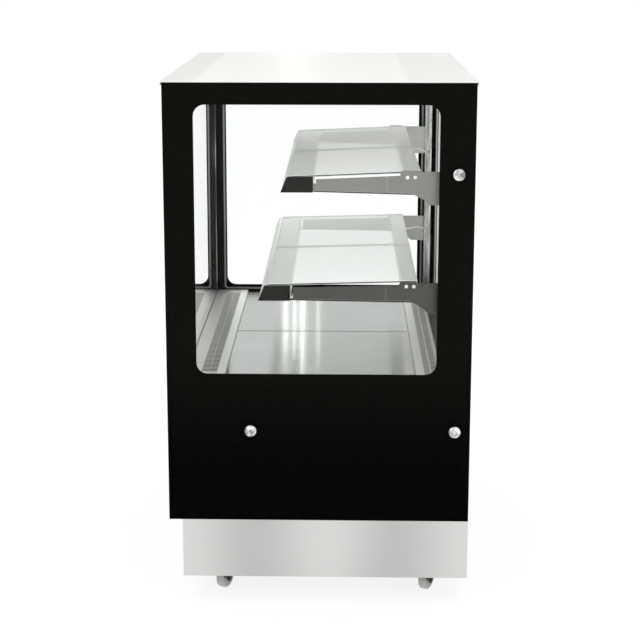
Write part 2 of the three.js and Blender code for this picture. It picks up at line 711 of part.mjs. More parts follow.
function addCondensingUnit() {
  const { x0, x1, front, rear, bottom, top } = CONDENSER;
  const fan = CONDENSER_FAN;
  const shroudFront = fan.front + fan.hubHeight - 6;
  const ring = outline(rectangle(front, rear, bottom, top), [circle(fan.y, fan.z, fan.radius + 6, 28)]);
  const boxHollow = rectangle(front + 2, rear - 2, bottom + 2, top - 2);
  const boxWall = outline(rectangle(front, rear, bottom, top), [boxHollow]);
  const motorFront = fan.front - 70;
  const condenser = shaped([
    block(x0, x1, front, rear, bottom, top),
    prism('x', ring, shroudFront, shroudFront + 3),
    prism('x', boxWall, shroudFront, x0 + 1),
    rod('x', fan.y, fan.z, 34, motorFront, fan.front - GAP, 16),
    block(motorFront + 20, motorFront + 24, fan.y - 20, fan.y + 20, bottom, fan.z),
    block(motorFront + 20, shroudFront + 2, fan.y - 20, fan.y + 20, bottom, bottom + 4),
  ]);
  addPart('condenser', condenser, 'blackShell');
  const rotorShape = rotorSolid(fan.radius, fan.hubRadius, fan.hubHeight, 5, 26);
  const rotor = addPart('condenser_fan', rotorShape, 'blackPlastic');
  rotor.position.set(fan.front, fan.y, fan.z);
  rotor.rotation.y = Math.PI / 2;

  const { radius, height, plateHalf } = COMPRESSOR;
  const dome = turned([
    [0, 14],
    [radius - 20, 14],
    [radius - 4, 30],
    [radius - 4, height * 0.42],
    [radius, height * 0.45],
    [radius, height * 0.49],
    [radius - 4, height * 0.52],
    [radius - 8, height * 0.78],
    [radius - 34, height],
    [0, height],
  ], 20);
  dome.rotateX(Math.PI / 2);
  const feet = [-1, 1].flatMap((sx) => [-1, 1].map((sy) =>
    rod('z', sx * (plateHalf - 14), sy * (plateHalf - 14), 12, 0, 16, 12)));
  const compressor = addPart('compressor',
    shaped([dome, block(-plateHalf, plateHalf, -plateHalf, plateHalf, 12, 16), ...feet]), 'blackShell');
  compressor.position.set(COMPRESSOR.x, COMPRESSOR.y, PLINTH.floor + PLINTH.floorThickness + GAP);
}

addPlinth();
addCasters();
addLowerShell();
addEndGlass();
addStandoffCaps();
addFrontGlass();
addFrontPosts();
addRearUprights();
addTop();
addDoorFrame();
addDoor('left', -1, DOOR_TRACKS[0]);
addDoor('right', 1, DOOR_TRACKS[1]);
addRearPanel();
addDeck();
addShelves();
addEvaporator();
addCondensingUnit();

export default display_case;
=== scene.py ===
import json
import math

import bmesh
import bpy
from mathutils import Matrix, Vector
from mathutils.geometry import tessellate_polygon
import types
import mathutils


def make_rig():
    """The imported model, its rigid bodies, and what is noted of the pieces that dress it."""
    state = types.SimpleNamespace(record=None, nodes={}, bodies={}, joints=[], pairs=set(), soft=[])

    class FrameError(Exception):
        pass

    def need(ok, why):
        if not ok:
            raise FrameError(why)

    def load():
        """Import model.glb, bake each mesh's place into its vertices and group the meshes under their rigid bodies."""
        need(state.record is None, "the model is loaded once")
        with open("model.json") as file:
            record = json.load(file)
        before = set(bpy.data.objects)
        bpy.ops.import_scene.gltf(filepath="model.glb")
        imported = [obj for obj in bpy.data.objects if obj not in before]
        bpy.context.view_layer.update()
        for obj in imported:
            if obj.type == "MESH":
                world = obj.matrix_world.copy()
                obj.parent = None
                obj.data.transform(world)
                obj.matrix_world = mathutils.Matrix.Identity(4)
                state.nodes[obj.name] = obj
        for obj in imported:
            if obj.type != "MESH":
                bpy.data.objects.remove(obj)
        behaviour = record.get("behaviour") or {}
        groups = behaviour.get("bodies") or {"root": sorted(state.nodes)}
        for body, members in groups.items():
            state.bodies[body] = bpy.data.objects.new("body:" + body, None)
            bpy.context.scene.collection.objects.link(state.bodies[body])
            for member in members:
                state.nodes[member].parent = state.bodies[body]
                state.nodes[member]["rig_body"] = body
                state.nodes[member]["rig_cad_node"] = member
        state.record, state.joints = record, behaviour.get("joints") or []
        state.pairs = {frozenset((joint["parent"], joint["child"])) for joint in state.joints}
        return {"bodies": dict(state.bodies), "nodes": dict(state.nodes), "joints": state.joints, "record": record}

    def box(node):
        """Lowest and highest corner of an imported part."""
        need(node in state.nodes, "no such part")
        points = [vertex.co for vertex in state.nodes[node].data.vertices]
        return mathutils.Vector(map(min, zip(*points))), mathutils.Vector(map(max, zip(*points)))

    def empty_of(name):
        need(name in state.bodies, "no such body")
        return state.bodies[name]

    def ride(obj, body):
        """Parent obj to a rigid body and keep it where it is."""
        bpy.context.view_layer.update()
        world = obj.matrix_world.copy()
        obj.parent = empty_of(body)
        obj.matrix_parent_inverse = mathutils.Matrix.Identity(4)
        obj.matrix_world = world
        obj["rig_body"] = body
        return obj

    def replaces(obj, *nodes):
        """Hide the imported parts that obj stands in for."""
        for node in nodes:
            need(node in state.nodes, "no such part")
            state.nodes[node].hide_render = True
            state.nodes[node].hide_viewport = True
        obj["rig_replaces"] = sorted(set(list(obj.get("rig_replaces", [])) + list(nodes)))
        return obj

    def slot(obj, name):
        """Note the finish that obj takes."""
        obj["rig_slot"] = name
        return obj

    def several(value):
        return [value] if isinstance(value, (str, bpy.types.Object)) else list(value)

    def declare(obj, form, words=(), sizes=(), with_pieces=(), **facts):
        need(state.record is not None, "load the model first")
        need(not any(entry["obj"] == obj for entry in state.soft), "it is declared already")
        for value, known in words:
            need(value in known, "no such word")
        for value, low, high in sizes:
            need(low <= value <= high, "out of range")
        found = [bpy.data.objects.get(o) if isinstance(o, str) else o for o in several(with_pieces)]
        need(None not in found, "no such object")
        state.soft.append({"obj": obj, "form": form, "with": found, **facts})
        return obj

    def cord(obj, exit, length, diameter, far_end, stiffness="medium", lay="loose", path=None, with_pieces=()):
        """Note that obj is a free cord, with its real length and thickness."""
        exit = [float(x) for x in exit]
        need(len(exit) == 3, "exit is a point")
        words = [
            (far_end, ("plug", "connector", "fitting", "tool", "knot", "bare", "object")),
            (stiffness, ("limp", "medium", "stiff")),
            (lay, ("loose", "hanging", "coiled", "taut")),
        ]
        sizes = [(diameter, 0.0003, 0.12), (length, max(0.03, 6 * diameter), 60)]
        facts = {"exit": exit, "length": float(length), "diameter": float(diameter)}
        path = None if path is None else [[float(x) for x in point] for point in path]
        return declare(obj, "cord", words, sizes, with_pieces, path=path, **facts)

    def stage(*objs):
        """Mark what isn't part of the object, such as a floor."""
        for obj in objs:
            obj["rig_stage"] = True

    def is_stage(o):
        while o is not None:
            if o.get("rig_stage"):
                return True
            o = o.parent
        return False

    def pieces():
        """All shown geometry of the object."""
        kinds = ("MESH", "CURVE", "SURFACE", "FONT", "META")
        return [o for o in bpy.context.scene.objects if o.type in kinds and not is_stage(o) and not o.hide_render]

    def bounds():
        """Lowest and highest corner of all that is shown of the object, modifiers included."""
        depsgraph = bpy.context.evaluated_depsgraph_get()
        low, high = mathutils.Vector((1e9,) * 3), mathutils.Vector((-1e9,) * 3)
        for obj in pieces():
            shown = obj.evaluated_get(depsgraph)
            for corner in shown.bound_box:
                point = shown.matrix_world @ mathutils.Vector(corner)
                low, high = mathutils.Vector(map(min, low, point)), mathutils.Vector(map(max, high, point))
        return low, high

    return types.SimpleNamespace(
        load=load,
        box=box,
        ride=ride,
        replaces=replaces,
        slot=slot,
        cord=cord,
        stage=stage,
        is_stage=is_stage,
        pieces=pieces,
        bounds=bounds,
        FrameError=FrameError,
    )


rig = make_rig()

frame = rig.load()
cad_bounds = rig.bounds()

# Shapes are in millimetres in the case's own frame: X along the case, -Y the customer's side, Z up.
# Blender's own values, which are those of the camera, the studio and the materials, are in metres.
MM = 0.001
CASE = "case"
SIDES = ((1, "right"), (-1, "left"))
TIERS = ("upper", "lower")
CORNERS = ("front_right", "rear_right", "front_left", "rear_left")


def box(node):
    """The low and high corners of a CAD node."""
    return [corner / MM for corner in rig.box(node)]


def joint_point(name):
    return Vector(next(joint["pos_m"] for joint in frame["joints"] if joint["name"] == name)) / MM


# ---- Camera ----
def add_camera():
    yaw, pitch = math.radians(-1.35), math.radians(11.376)
    forward = Vector((-math.cos(yaw) * math.cos(pitch), math.sin(yaw) * math.cos(pitch), -math.sin(pitch)))
    data = bpy.data.cameras.new("camera")
    data.sensor_width = 36
    data.lens = 83.782
    data.shift_x = 0.01863
    data.shift_y = -0.1094
    data.clip_end = 100
    camera = bpy.data.objects.new("camera", data)
    camera.location = (3.63668, 0.05167, 1.4687)
    camera.rotation_mode = "QUATERNION"
    camera.rotation_quaternion = forward.to_track_quat("-Z", "Y")
    bpy.context.scene.collection.objects.link(camera)
    bpy.context.scene.camera = camera


# ---- Solids ----
def place(axis, u, v, w):
    """The point (u, v) of an outline at w along an axis: (Y, Z) for x, (X, Z) for y and (X, Y) for z."""
    if axis == "x":
        return Vector((w, u, v))
    if axis == "y":
        return Vector((u, w, v))
    return Vector((u, v, w))


def span(middle, half):
    """The two ends of a length about its middle."""
    return middle - half, middle + half


def rectangle(u0, u1, v0, v1):
    return [(u0, v0), (u1, v0), (u1, v1), (u0, v1)]


def arc(u, v, radius, start, end, steps):
    """Points on an arc, with its angles in degrees."""
    angles = [math.radians(start + (end - start) * i / steps) for i in range(steps + 1)]
    return [(u + radius * math.cos(a), v + radius * math.sin(a)) for a in angles]


def rounded(u0, u1, v0, v1, radius, steps=6):
    """A rectangle with round corners."""
    r = radius
    corners = ((u1 - r, v0 + r, -90), (u1 - r, v1 - r, 0), (u0 + r, v1 - r, 90), (u0 + r, v0 + r, 180))
    return [point for u, v, start in corners for point in arc(u, v, r, start, start + 90, steps)]


def circle(u, v, radius, steps=24):
    return arc(u, v, radius, 0, 360, steps)[:-1]


class Shells:
    """Closed shells gathered into one mesh. Each method that adds to them returns them."""

    def __init__(self):
        self.verts = []
        self.faces = []

    def add(self, verts, faces):
        base = len(self.verts)
        self.verts.extend(verts)
        self.faces.extend(tuple(base + i for i in face) for face in faces)
        return self

    def join(self, other):
        return self.add(other.verts, other.faces)

    def prism(self, axis, outline, start, end, holes=()):
        rings = [outline, *holes]
        flat = [p for ring in rings for p in ring]
        count = len(flat)
        verts = [place(axis, u, v, w) for w in (start, end) for u, v in flat]
        faces = []
        first = 0
        for ring in rings:
            for i in range(len(ring)):
                a, b = first + i, first + (i + 1) % len(ring)
                faces.append((a, b, count + b, count + a))
            first += len(ring)
        caps = [tuple(range(count))]
        if holes:
            caps = tessellate_polygon([[Vector((u, v, 0)) for u, v in ring] for ring in rings])
        for cap in caps:
            faces.append(tuple(cap))
            faces.append(tuple(count + i for i in cap))
        return self.add(verts, faces)

    def block(self, x, y, z):
        return self.prism("z", rectangle(*x, *y), *z)

    def turned(self, profile, axis, centre, steps=32, ring=False):
        """A (radius, height) profile turned about an axis through centre.

        A ring's profile closes on itself."""
        verts, rows = [], []
        for radius, height in profile:
            turns = steps if radius else 1
            rows.append([len(verts) + i for i in range(turns)])
            for i in range(turns):
                angle = 2 * math.pi * i / steps
                a, b = radius * math.cos(angle), radius * math.sin(angle)
                verts.append(Vector(centre) + place(axis, a, b, height))
        pairs = list(zip(rows, rows[1:]))
        if ring:
            pairs.append((rows[-1], rows[0]))
        faces = []
        for low, high in pairs:
            for i in range(steps):
                j = (i + 1) % steps
                face = [low[i % len(low)], low[j % len(low)], high[j % len(high)], high[i % len(high)]]
                faces.append(tuple(dict.fromkeys(face)))
        return self.add(verts, [face for face in faces if len(face) > 2])

    def tube(self, route, radius, sides=12, finer=6):
        """A round tube on a smooth curve through the route's points."""
        points = smooth_route(route, finer)
        verts, faces = [], []
        up = Vector((0, 0, 1))
        for i, point in enumerate(points):
            ahead = points[min(i + 1, len(points) - 1)] - points[max(i - 1, 0)]
            side = ahead.cross(up)
            if side.length < 1e-6:
                side = Vector((1, 0, 0))
            side.normalize()
            up = side.cross(ahead).normalized()
            for k in range(sides):
                angle = 2 * math.pi * k / sides
                verts.append(point + radius * (side * math.cos(angle) + up * math.sin(angle)))
        for i in range(len(points) - 1):
            for k in range(sides):
                a, b = i * sides + k, i * sides + (k + 1) % sides
                faces.append((a, b, b + sides, a + sides))
        faces.append(tuple(range(sides)))
        faces.append(tuple(range(len(verts) - sides, len(verts))))
        return self.add(verts, faces)

    def lattice(self, us, vs, low, high, is_hole):
        """A flat sheet over the grid of X values us and Y values vs, without the cells that are holes."""
        across = len(vs)
        top = len(us) * across
        verts = [Vector((u, v, z)) for z in (low, high) for u in us for v in vs]
        solid = {(i, j) for i in range(len(us) - 1) for j in range(len(vs) - 1) if not is_hole(i, j)}
        faces = []
        for i, j in sorted(solid):
            corners = [i * across + j, (i + 1) * across + j, (i + 1) * across + j + 1, i * across + j + 1]
            faces.append(tuple(corners))
            faces.append(tuple(top + c for c in corners))
            beside = [(i, j - 1), (i + 1, j), (i, j + 1), (i - 1, j)]
            for k, cell in enumerate(beside):
                if cell not in solid:
                    a, b = corners[k], corners[(k + 1) % 4]
                    faces.append((a, b, top + b, top + a))
        used = sorted({v for face in faces for v in face})
        index = {v: n for n, v in enumerate(used)}
        return self.add([verts[v] for v in used], [tuple(index[v] for v in face) for face in faces])

    def moved(self, matrix):
        self.verts = [matrix @ v for v in self.verts]
        return self


def facing(sign, x, y, z):
    """From a frame that looks along +X to a place on the case, where it looks along sign times X."""
    placed = Matrix.Translation((x, y, z))
    return placed if sign > 0 else placed @ Matrix.Rotation(math.pi, 4, "Z")


def smooth_route(route, finer):
    """Catmull-Rom points through a route."""
    p = [Vector(point) for point in route]
    p = [2 * p[0] - p[1], *p, 2 * p[-1] - p[-2]]
    points = []
    for i in range(1, len(p) - 2):
        for k in range(finer):
            t = k / finer
            a, b, c, d = p[i - 1], p[i], p[i + 1], p[i + 2]
            points.append(0.5 * (2 * b + (c - a) * t + (2 * a - 5 * b + 4 * c - d) * t * t
                                 + (3 * b - a - 3 * c + d) * t ** 3))
    points.append(p[-2])
    return points


def add_bevel(obj, width, segments=2):
    bevel = obj.modifiers.new("bevel", "BEVEL")
    bevel.width = width * MM
    bevel.segments = segments
    bevel.limit_method = "ANGLE"
    bevel.angle_limit = math.radians(40)
    bevel.harden_normals = True


def piece(name, shells, material, body=CASE, slot=None, stands_for=(), bevel=0.0, segments=2, smooth=35,
          others=(), edge=None):
    """Makes an object of the model from shells.

    others holds (material, test) pairs for the faces whose normal and centre pass the test, and edge is the
    material of the bevels."""
    mesh = bpy.data.meshes.new(name)
    mesh.from_pydata([vert * MM for vert in shells.verts], [], shells.faces)
    work = bmesh.new()
    work.from_mesh(mesh)
    bmesh.ops.recalc_face_normals(work, faces=work.faces)
    work.to_mesh(mesh)
    work.free()
    mesh.materials.append(material)
    for index, (other, test) in enumerate(others, 1):
        mesh.materials.append(other)
        for polygon in mesh.polygons:
            if test(polygon.normal, polygon.center):
                polygon.material_index = index
    for polygon in mesh.polygons:
        polygon.use_smooth = True
    mesh.set_sharp_from_angle(angle=math.radians(smooth))
    obj = bpy.data.objects.new(name, mesh)
    bpy.context.scene.collection.objects.link(obj)
    if bevel:
        add_bevel(obj, bevel, segments)
        if edge:
            mesh.materials.append(edge)
            obj.modifiers["bevel"].material = len(mesh.materials) - 1
    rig.ride(obj, body)
    if slot:
        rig.slot(obj, slot)
    if stands_for:
        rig.replaces(obj, *stands_for)
    return obj


def dress(node, material, bevel=0.0, segments=2, edge=None):
    """Gives a CAD node its material, and softens its edges."""
    obj = frame["nodes"][node]
    obj.data.materials.clear()
    obj.data.materials.append(material)
    if bevel:
        weld = obj.modifiers.new("weld", "WELD")
        weld.merge_threshold = 0.01 * MM
        add_bevel(obj, bevel, segments)
        if edge:
            obj.data.materials.append(edge)
            obj.modifiers["bevel"].material = 1


# ---- Materials ----
class Look:
    """A node material built round one Principled shader."""

    def __init__(self, name, color, roughness, metallic=0.0, **sockets):
        self.material = bpy.data.materials.new(name)
        self.material.use_nodes = True
        self.tree = self.material.node_tree
        self.shader = self.tree.nodes["Principled BSDF"]
        self.color = (*color, 1)
        self.base = None
        self.set("Base Color", self.color)
        self.set("Roughness", roughness)
        self.set("Metallic", metallic)
        for socket, value in sockets.items():
            self.set(socket.replace("_", " "), value)

    def set(self, socket, value):
        self.shader.inputs[socket].default_value = value

    def node(self, kind, **values):
        node = self.tree.nodes.new(kind)
        for key, value in values.items():
            if key in node.inputs:
                node.inputs[key].default_value = value
            else:
                setattr(node, key, value)
        return node

    def link(self, source, target):
        self.tree.links.new(source, target)

    def noise(self, scale, stretch=(1, 1, 1), detail=3.0):
        """A noise value over the piece's own coordinates, stretched by axis."""
        place_at = self.node("ShaderNodeTexCoord")
        mapping = self.node("ShaderNodeMapping", Scale=tuple(scale * s for s in stretch))
        noise = self.node("ShaderNodeTexNoise", Scale=1.0, Detail=detail)
        self.link(place_at.outputs["Object"], mapping.inputs["Vector"])
        self.link(mapping.outputs["Vector"], noise.inputs["Vector"])
        return noise.outputs["Fac"]

    def remap(self, value, low, high, source_low=0.3, source_high=0.7):
        limits = {"From Min": source_low, "From Max": source_high, "To Min": low, "To Max": high}
        ranged = self.node("ShaderNodeMapRange", **limits)
        self.link(value, ranged.inputs["Value"])
        return ranged.outputs["Result"]

    def vary_roughness(self, value, low, high):
        self.link(self.remap(value, low, high), self.shader.inputs["Roughness"])
        return self

    def scale_color(self, factor):
        """Multiplies the base colour so far by a factor."""
        scale = self.node("ShaderNodeVectorMath", operation="SCALE")
        if self.base:
            self.link(self.base, scale.inputs[0])
        else:
            scale.inputs[0].default_value = self.color[:3]
        self.link(factor, scale.inputs["Scale"])
        self.base = scale.outputs["Vector"]
        self.link(self.base, self.shader.inputs["Base Color"])
        return self

    def vary_color(self, value, dark, light):
        return self.scale_color(self.remap(value, dark, light))

    def bands(self, axis, stops):
        """A tone that follows the piece's own position along an axis, from (position, tone) stops."""
        place_at = self.node("ShaderNodeTexCoord")
        split = self.node("ShaderNodeSeparateXYZ")
        ramp = self.node("ShaderNodeValToRGB")
        self.link(place_at.outputs["Object"], split.inputs["Vector"])
        low, high = stops[0][0], stops[-1][0]
        share = self.remap(split.outputs[axis.upper()], 0, 1, low, high)
        self.link(share, ramp.inputs["Fac"])
        ramp.color_ramp.interpolation = "EASE"
        elements = ramp.color_ramp.elements
        while len(elements) < len(stops):
            elements.new(0.5)
        for element, (position, _) in zip(elements, stops):
            element.position = (position - low) / (high - low)
        for element, (_, tone) in zip(elements, stops):
            element.color = (tone, tone, tone, 1)
        return ramp.outputs["Color"]

    def facing_axis(self, axis, when_facing, otherwise):
        """One value on the faces square to an axis and another on the rest."""
        geometry = self.node("ShaderNodeNewGeometry")
        split = self.node("ShaderNodeSeparateXYZ")
        size = self.node("ShaderNodeMath", operation="ABSOLUTE")
        mix = self.node("ShaderNodeMix")
        self.link(geometry.outputs["True Normal"], split.inputs["Vector"])
        self.link(split.outputs[axis.upper()], size.inputs[0])
        self.link(size.outputs[0], mix.inputs["Factor"])
        self.link(otherwise, mix.inputs["A"])
        self.link(when_facing, mix.inputs["B"])
        return mix.outputs["Result"]

    def bump(self, value, strength, distance):
        bump = self.node("ShaderNodeBump", Strength=strength, Distance=distance)
        self.link(value, bump.inputs["Height"])
        self.link(bump.outputs["Normal"], self.shader.inputs["Normal"])
        return self


def brushed_look(name, color, roughness, along, spread=0.06, tone=0.05, strength=0.12):
    """Brushed metal whose fine grain runs along the given axes."""
    stretch = tuple(0.004 if axis in along else 1 for axis in "xyz")
    look = Look(name, color, roughness, metallic=1.0)
    grain = look.noise(1500, stretch, detail=2.0)
    broad = look.noise(5, (1, 1, 1), detail=2.0)
    look.vary_roughness(grain, roughness - spread, roughness + spread)
    look.vary_color(broad, 1 - tone, 1 + tone)
    look.bump(grain, strength, 0.0002)
    return look


def brushed(*values, **named):
    return brushed_look(*values, **named).material


def coated(name, color, roughness, scale=900, spread=0.06, tone=0.1, strength=0.15, **sockets):
    """Paint or moulded plastic with a fine even texture."""
    look = Look(name, color, roughness, **sockets)
    fine = look.noise(scale, detail=3.0)
    broad = look.noise(9, detail=3.0)
    look.vary_roughness(fine, roughness - spread, roughness + spread)
    look.vary_color(broad, 1 - tone, 1 + tone)
    look.bump(fine, strength, 0.0003)
    return look.material


def pane(name, tint, normal_share, grazing_share, haze=0.02, steepness=5.0, **shine):
    """Clear sheet glass: it lets light straight through and shines more at grazing angles.

    shine replaces the mirror that it shines with."""
    look = Look(name, (1, 1, 1), haze, **(shine or {"metallic": 1.0}))
    facing = look.node("ShaderNodeLayerWeight", Blend=0.5)
    power = look.node("ShaderNodeMath", operation="POWER")
    power.inputs[1].default_value = steepness
    clear = look.node("ShaderNodeBsdfTransparent", Color=(*tint, 1))
    mix = look.node("ShaderNodeMixShader")
    smears = look.noise(14, detail=4.0)
    look.vary_roughness(smears, haze * 0.7, haze * 1.3)
    look.link(facing.outputs["Facing"], power.inputs[0])
    look.link(look.remap(power.outputs[0], normal_share, grazing_share, 0, 1), mix.inputs["Fac"])
    look.link(clear.outputs["BSDF"], mix.inputs[1])
    look.link(look.shader.outputs["BSDF"], mix.inputs[2])
    look.link(mix.outputs["Shader"], look.tree.nodes["Material Output"].inputs["Surface"])
    return look.material


def spun(name, color, roughness, dark):
    """Steel turned on a lathe about X: fine rings, with faint sectors of painted shine in its colour."""
    look = Look(name, color, roughness, metallic=1.0)
    grain = look.noise(2600, (0.01, 1, 1), detail=2.0)
    look.vary_roughness(grain, roughness - 0.08, roughness + 0.12)
    look.vary_color(look.noise(75, detail=1.0), dark, 1.2)
    look.bump(grain, 0.3, 0.0003)
    return look.material


def reflection_streaked(name, color, roughness, dark, light, along):
    """Bright drawn metal whose long uneven vertical streaks of colour are painted reflections."""
    look = Look(name, color, roughness, metallic=1.0)
    fine = look.noise(1, (420, 420, 3), detail=2.0)
    long = look.noise(1, (150, 150, along), detail=3.0)
    look.vary_roughness(fine, roughness - 0.05, roughness + 0.08)
    look.vary_color(long, dark, light)
    look.bump(fine, 0.1, 0.0003)
    return look.material


def diffuser():
    glow = {"Emission_Color": (1, 1, 0.97, 1), "Emission_Strength": 0.35}
    look = Look("led_diffuser", (0.93, 0.94, 0.92), 0.4, **glow)
    grain = look.noise(420, detail=2.0)
    look.vary_roughness(grain, 0.34, 0.46)
    look.bump(grain, 0.1, 0.0002)
    return look.material


def waves(middle, half, low, high):
    """Tone stops with a light middle and light ends, for bands of painted reflection."""
    return [(middle - half, high), (middle - half / 2, low), (middle, high), (middle + half / 2, low),
            (middle + half, high)]


def plinth_steel():
    color = (0.66, 0.67, 0.65)
    look = brushed_look("plinth_steel", color, 0.34, "xy", spread=0.03, tone=0.02, strength=0.03)
    # Painted reflection: broad lighter and darker bands along each face of the plinth stand in for the floor it
    # reflects.
    end_reflection_bands = look.bands("y", waves(0.015, 0.323, 0.78, 1.0))
    side_reflection_bands = look.bands("x", waves(0.0, 0.449, 0.78, 1.0))
    return look.scale_color(look.facing_axis("x", end_reflection_bands, side_reflection_bands)).material


def top_steel():
    look = brushed_look("top_steel", (0.77, 0.77, 0.745), 0.42, "y", tone=0.01, strength=0.05)
    # Painted reflection: the top's tone steps across Y, darker towards its front and rear edges.
    stops = [(-0.342, 0.88), (-0.275, 0.9), (-0.262, 1), (0.185, 1), (0.2, 0.93), (0.342, 0.95)]
    return look.scale_color(look.bands("y", stops)).material


def deck_steel():
    """Steel brushed along Y, so that it spreads highlights along X."""
    look = brushed_look("deck_steel", (0.5, 0.51, 0.49), 0.17, "y", spread=0.03, tone=0.04, strength=0.08)
    look.set("Anisotropic", 1.0)
    tangent = look.node("ShaderNodeTangent", direction_type="RADIAL", axis="Y")
    look.link(tangent.outputs["Tangent"], look.shader.inputs["Tangent"])
    return look.material


def strip_steel():
    """Brushed strip with painted light and shade in its tone, brightest beside the front glass."""
    look = brushed_look("strip_steel", (0.95, 0.96, 0.93), 0.46, "y", tone=0.03)
    stops = [(-0.325, 0.74), (-0.27, 0.74), (-0.233, 0.66), (-0.229, 0.86), (0.22, 0.8), (0.28, 0.62)]
    return look.scale_color(look.bands("y", stops)).material


def black_print():
    """Fired black enamel, with a painted reflection that makes it a little lighter up by the window."""
    look = Look("black_print", (0.0048, 0.0045, 0.0036), 0.3, Specular_IOR_Level=0.01)
    fine = look.noise(60, detail=3.0)
    look.vary_roughness(fine, 0.25, 0.35)
    look.scale_color(look.bands("z", [(0.3, 0.22), (0.62, 1)]))
    return look.bump(fine, 0.01, 0.0003).material


def arm_steel(name, low_tone, high_tone):
    """Grey steel with painted light that makes it lighter on the upper shelf's arms than on the lower one's."""
    look = brushed_look(name, (1, 1, 0.94), 0.42, "y", tone=0.06)
    return look.scale_color(look.bands("z", [(0.76, low_tone), (0.9, high_tone)])).material


PLINTH_STEEL = plinth_steel()
TOP_STEEL = top_steel()
DECK_STEEL = deck_steel()
SEAM_STEEL = brushed("seam_steel", (0.4, 0.41, 0.39), 0.45, "xy", tone=0.05)
# Near-black steel on the plinth's bevels: painted shade along its edges.
EDGE_PAINTED_SHADE = brushed("edge_steel", (0.06, 0.06, 0.055), 0.5, "xy", tone=0.05)
STRIP_STEEL = strip_steel()
# Lit and shaded copies of one grey steel: the arms' inner faces take painted light, the rest of each arm painted
# shade, and the hem a copy with its own painted tone.
ARM_OUTER_PAINTED_SHADE = arm_steel("arm_outer_painted_shade", 0.1, 0.3)
ARM_INNER_PAINTED_LIGHT = arm_steel("arm_inner_painted_light", 0.5, 0.56)
HEM_STEEL = arm_steel("hem_steel", 0.2, 0.44)
RAIL_ALUMINIUM = brushed("rail_aluminium", (0.7, 0.71, 0.69), 0.42, "x", tone=0.03, strength=0.06)
FRAME_ALUMINIUM = brushed("frame_aluminium", (0.8, 0.81, 0.79), 0.33, "z", tone=0.03, strength=0.08)
# Painted reflections streak the uprights and front posts, dark and light along their length.
POLISHED_STEEL = reflection_streaked("polished_steel", (0.86, 0.87, 0.84), 0.16, 0.45, 1.3, 16)
POST_STEEL = reflection_streaked("post_steel", (0.5, 0.51, 0.48), 0.16, 0.2, 1.7, 6)
# The standoff caps and screws carry that painted shine.
SPUN_STEEL = spun("spun_steel", (0.92, 0.93, 0.91), 0.26, 0.3)
SCREW_STEEL = spun("screw_steel", (0.95, 0.96, 0.94), 0.3, 0.8)
BLACK_PRINT = black_print()
SHELL_PAINT = coated("shell_paint", (0.014, 0.014, 0.012), 0.42, scale=1400, strength=0.25)
CAP_PLASTIC = coated("cap_plastic", (0.014, 0.015, 0.012), 0.5, scale=2200, Specular_IOR_Level=0.2)
CASTER_STEEL = coated("caster_steel", (0.05, 0.05, 0.047), 0.38, scale=500, metallic=0.7)
CASTER_TREAD = coated("caster_tread", (0.42, 0.42, 0.4), 0.55, scale=700, strength=0.2)
GASKET = coated("gasket", (0.008, 0.008, 0.007), 0.6, scale=900, Specular_IOR_Level=0.2)
LEAD_SHEATH = coated("lead_sheath", (0.66, 0.66, 0.62), 0.45, scale=900)
FAN_PLASTIC = coated("fan_plastic", (0.02, 0.02, 0.02), 0.45, scale=1200)
SWITCH_PLASTIC = coated("switch_plastic", (0.015, 0.015, 0.015), 0.25, scale=1800, strength=0.05)
DISPLAY = coated("display", (0.004, 0.004, 0.005), 0.08, scale=300, spread=0.02, strength=0.02)
UNIT_ENAMEL = coated("unit_enamel", (0.012, 0.012, 0.013), 0.22, scale=160, strength=0.08)
COIL_FINS = brushed("coil_fins", (0.62, 0.63, 0.63), 0.42, "z", tone=0.06)
COPPER = brushed("copper", (0.72, 0.36, 0.2), 0.3, "x", tone=0.12)
OUTER_GLASS = pane("outer_glass", (0.994, 0.997, 0.995), 0.0003, 0.12, 0.008)
INNER_GLASS = pane("inner_glass", (0.996, 0.998, 0.997), 0.0009, 0.12, 0.01)
# Painted reflection and light: the shelf glass shines with a diffuse white veil that glows a little, standing in for
# the white it reflects.
PAINTED_LIGHT_VEIL = {"Base_Color": (0.75, 0.76, 0.74, 1), "Specular_IOR_Level": 0.0, "Emission_Color": (1, 1, 0.98, 1),
        "Emission_Strength": 0.25}
SHELF_GLASS = pane("shelf_glass", (0.99, 0.995, 0.99), 0.04, 1.0, 0.3, **PAINTED_LIGHT_VEIL)
LINER_GLASS = pane("liner_glass", (0.996, 0.998, 0.997), 0.002, 1.2, 0.02, steepness=3.0)
# Painted light and shade on the shelf glass's cut edges: mid grey at front and rear, near white on the ends, near
# black on the +X end.
END_RIM_PAINTED_SHADE = coated("glass_rim", (0.045, 0.05, 0.042), 0.2, scale=500, strength=0.05)
SEAM_RIM_PAINTED_LIGHT = coated("seam_rim_painted_light", (0.8, 0.81, 0.78), 0.2, scale=500, strength=0.05)
FRONT_REAR_RIM_PAINTED_SHADE = coated("front_rear_rim_painted_shade", (0.16, 0.17, 0.15), 0.2, scale=500, strength=0.05)
SPACER_BAR = brushed("spacer_bar", (0.34, 0.35, 0.33), 0.4, "z", tone=0.03)
# Near-white bevels: a painted highlight along the top panel's edges and the shelf glass's bevels.
RIM_PAINTED_HIGHLIGHT = coated("rim_painted_highlight", (0.9, 0.92, 0.9), 0.15, scale=500, strength=0.05)
DIFFUSER = diffuser()


# ---- Glass units ----
PANE = 4
INNER_PANE = 3
PRINT = 0.3
GLAZING_GAP = 0.1
SPACER_WIDTH = 4.5
WINDOW_RADIUS = 25
EDGE = 0.2


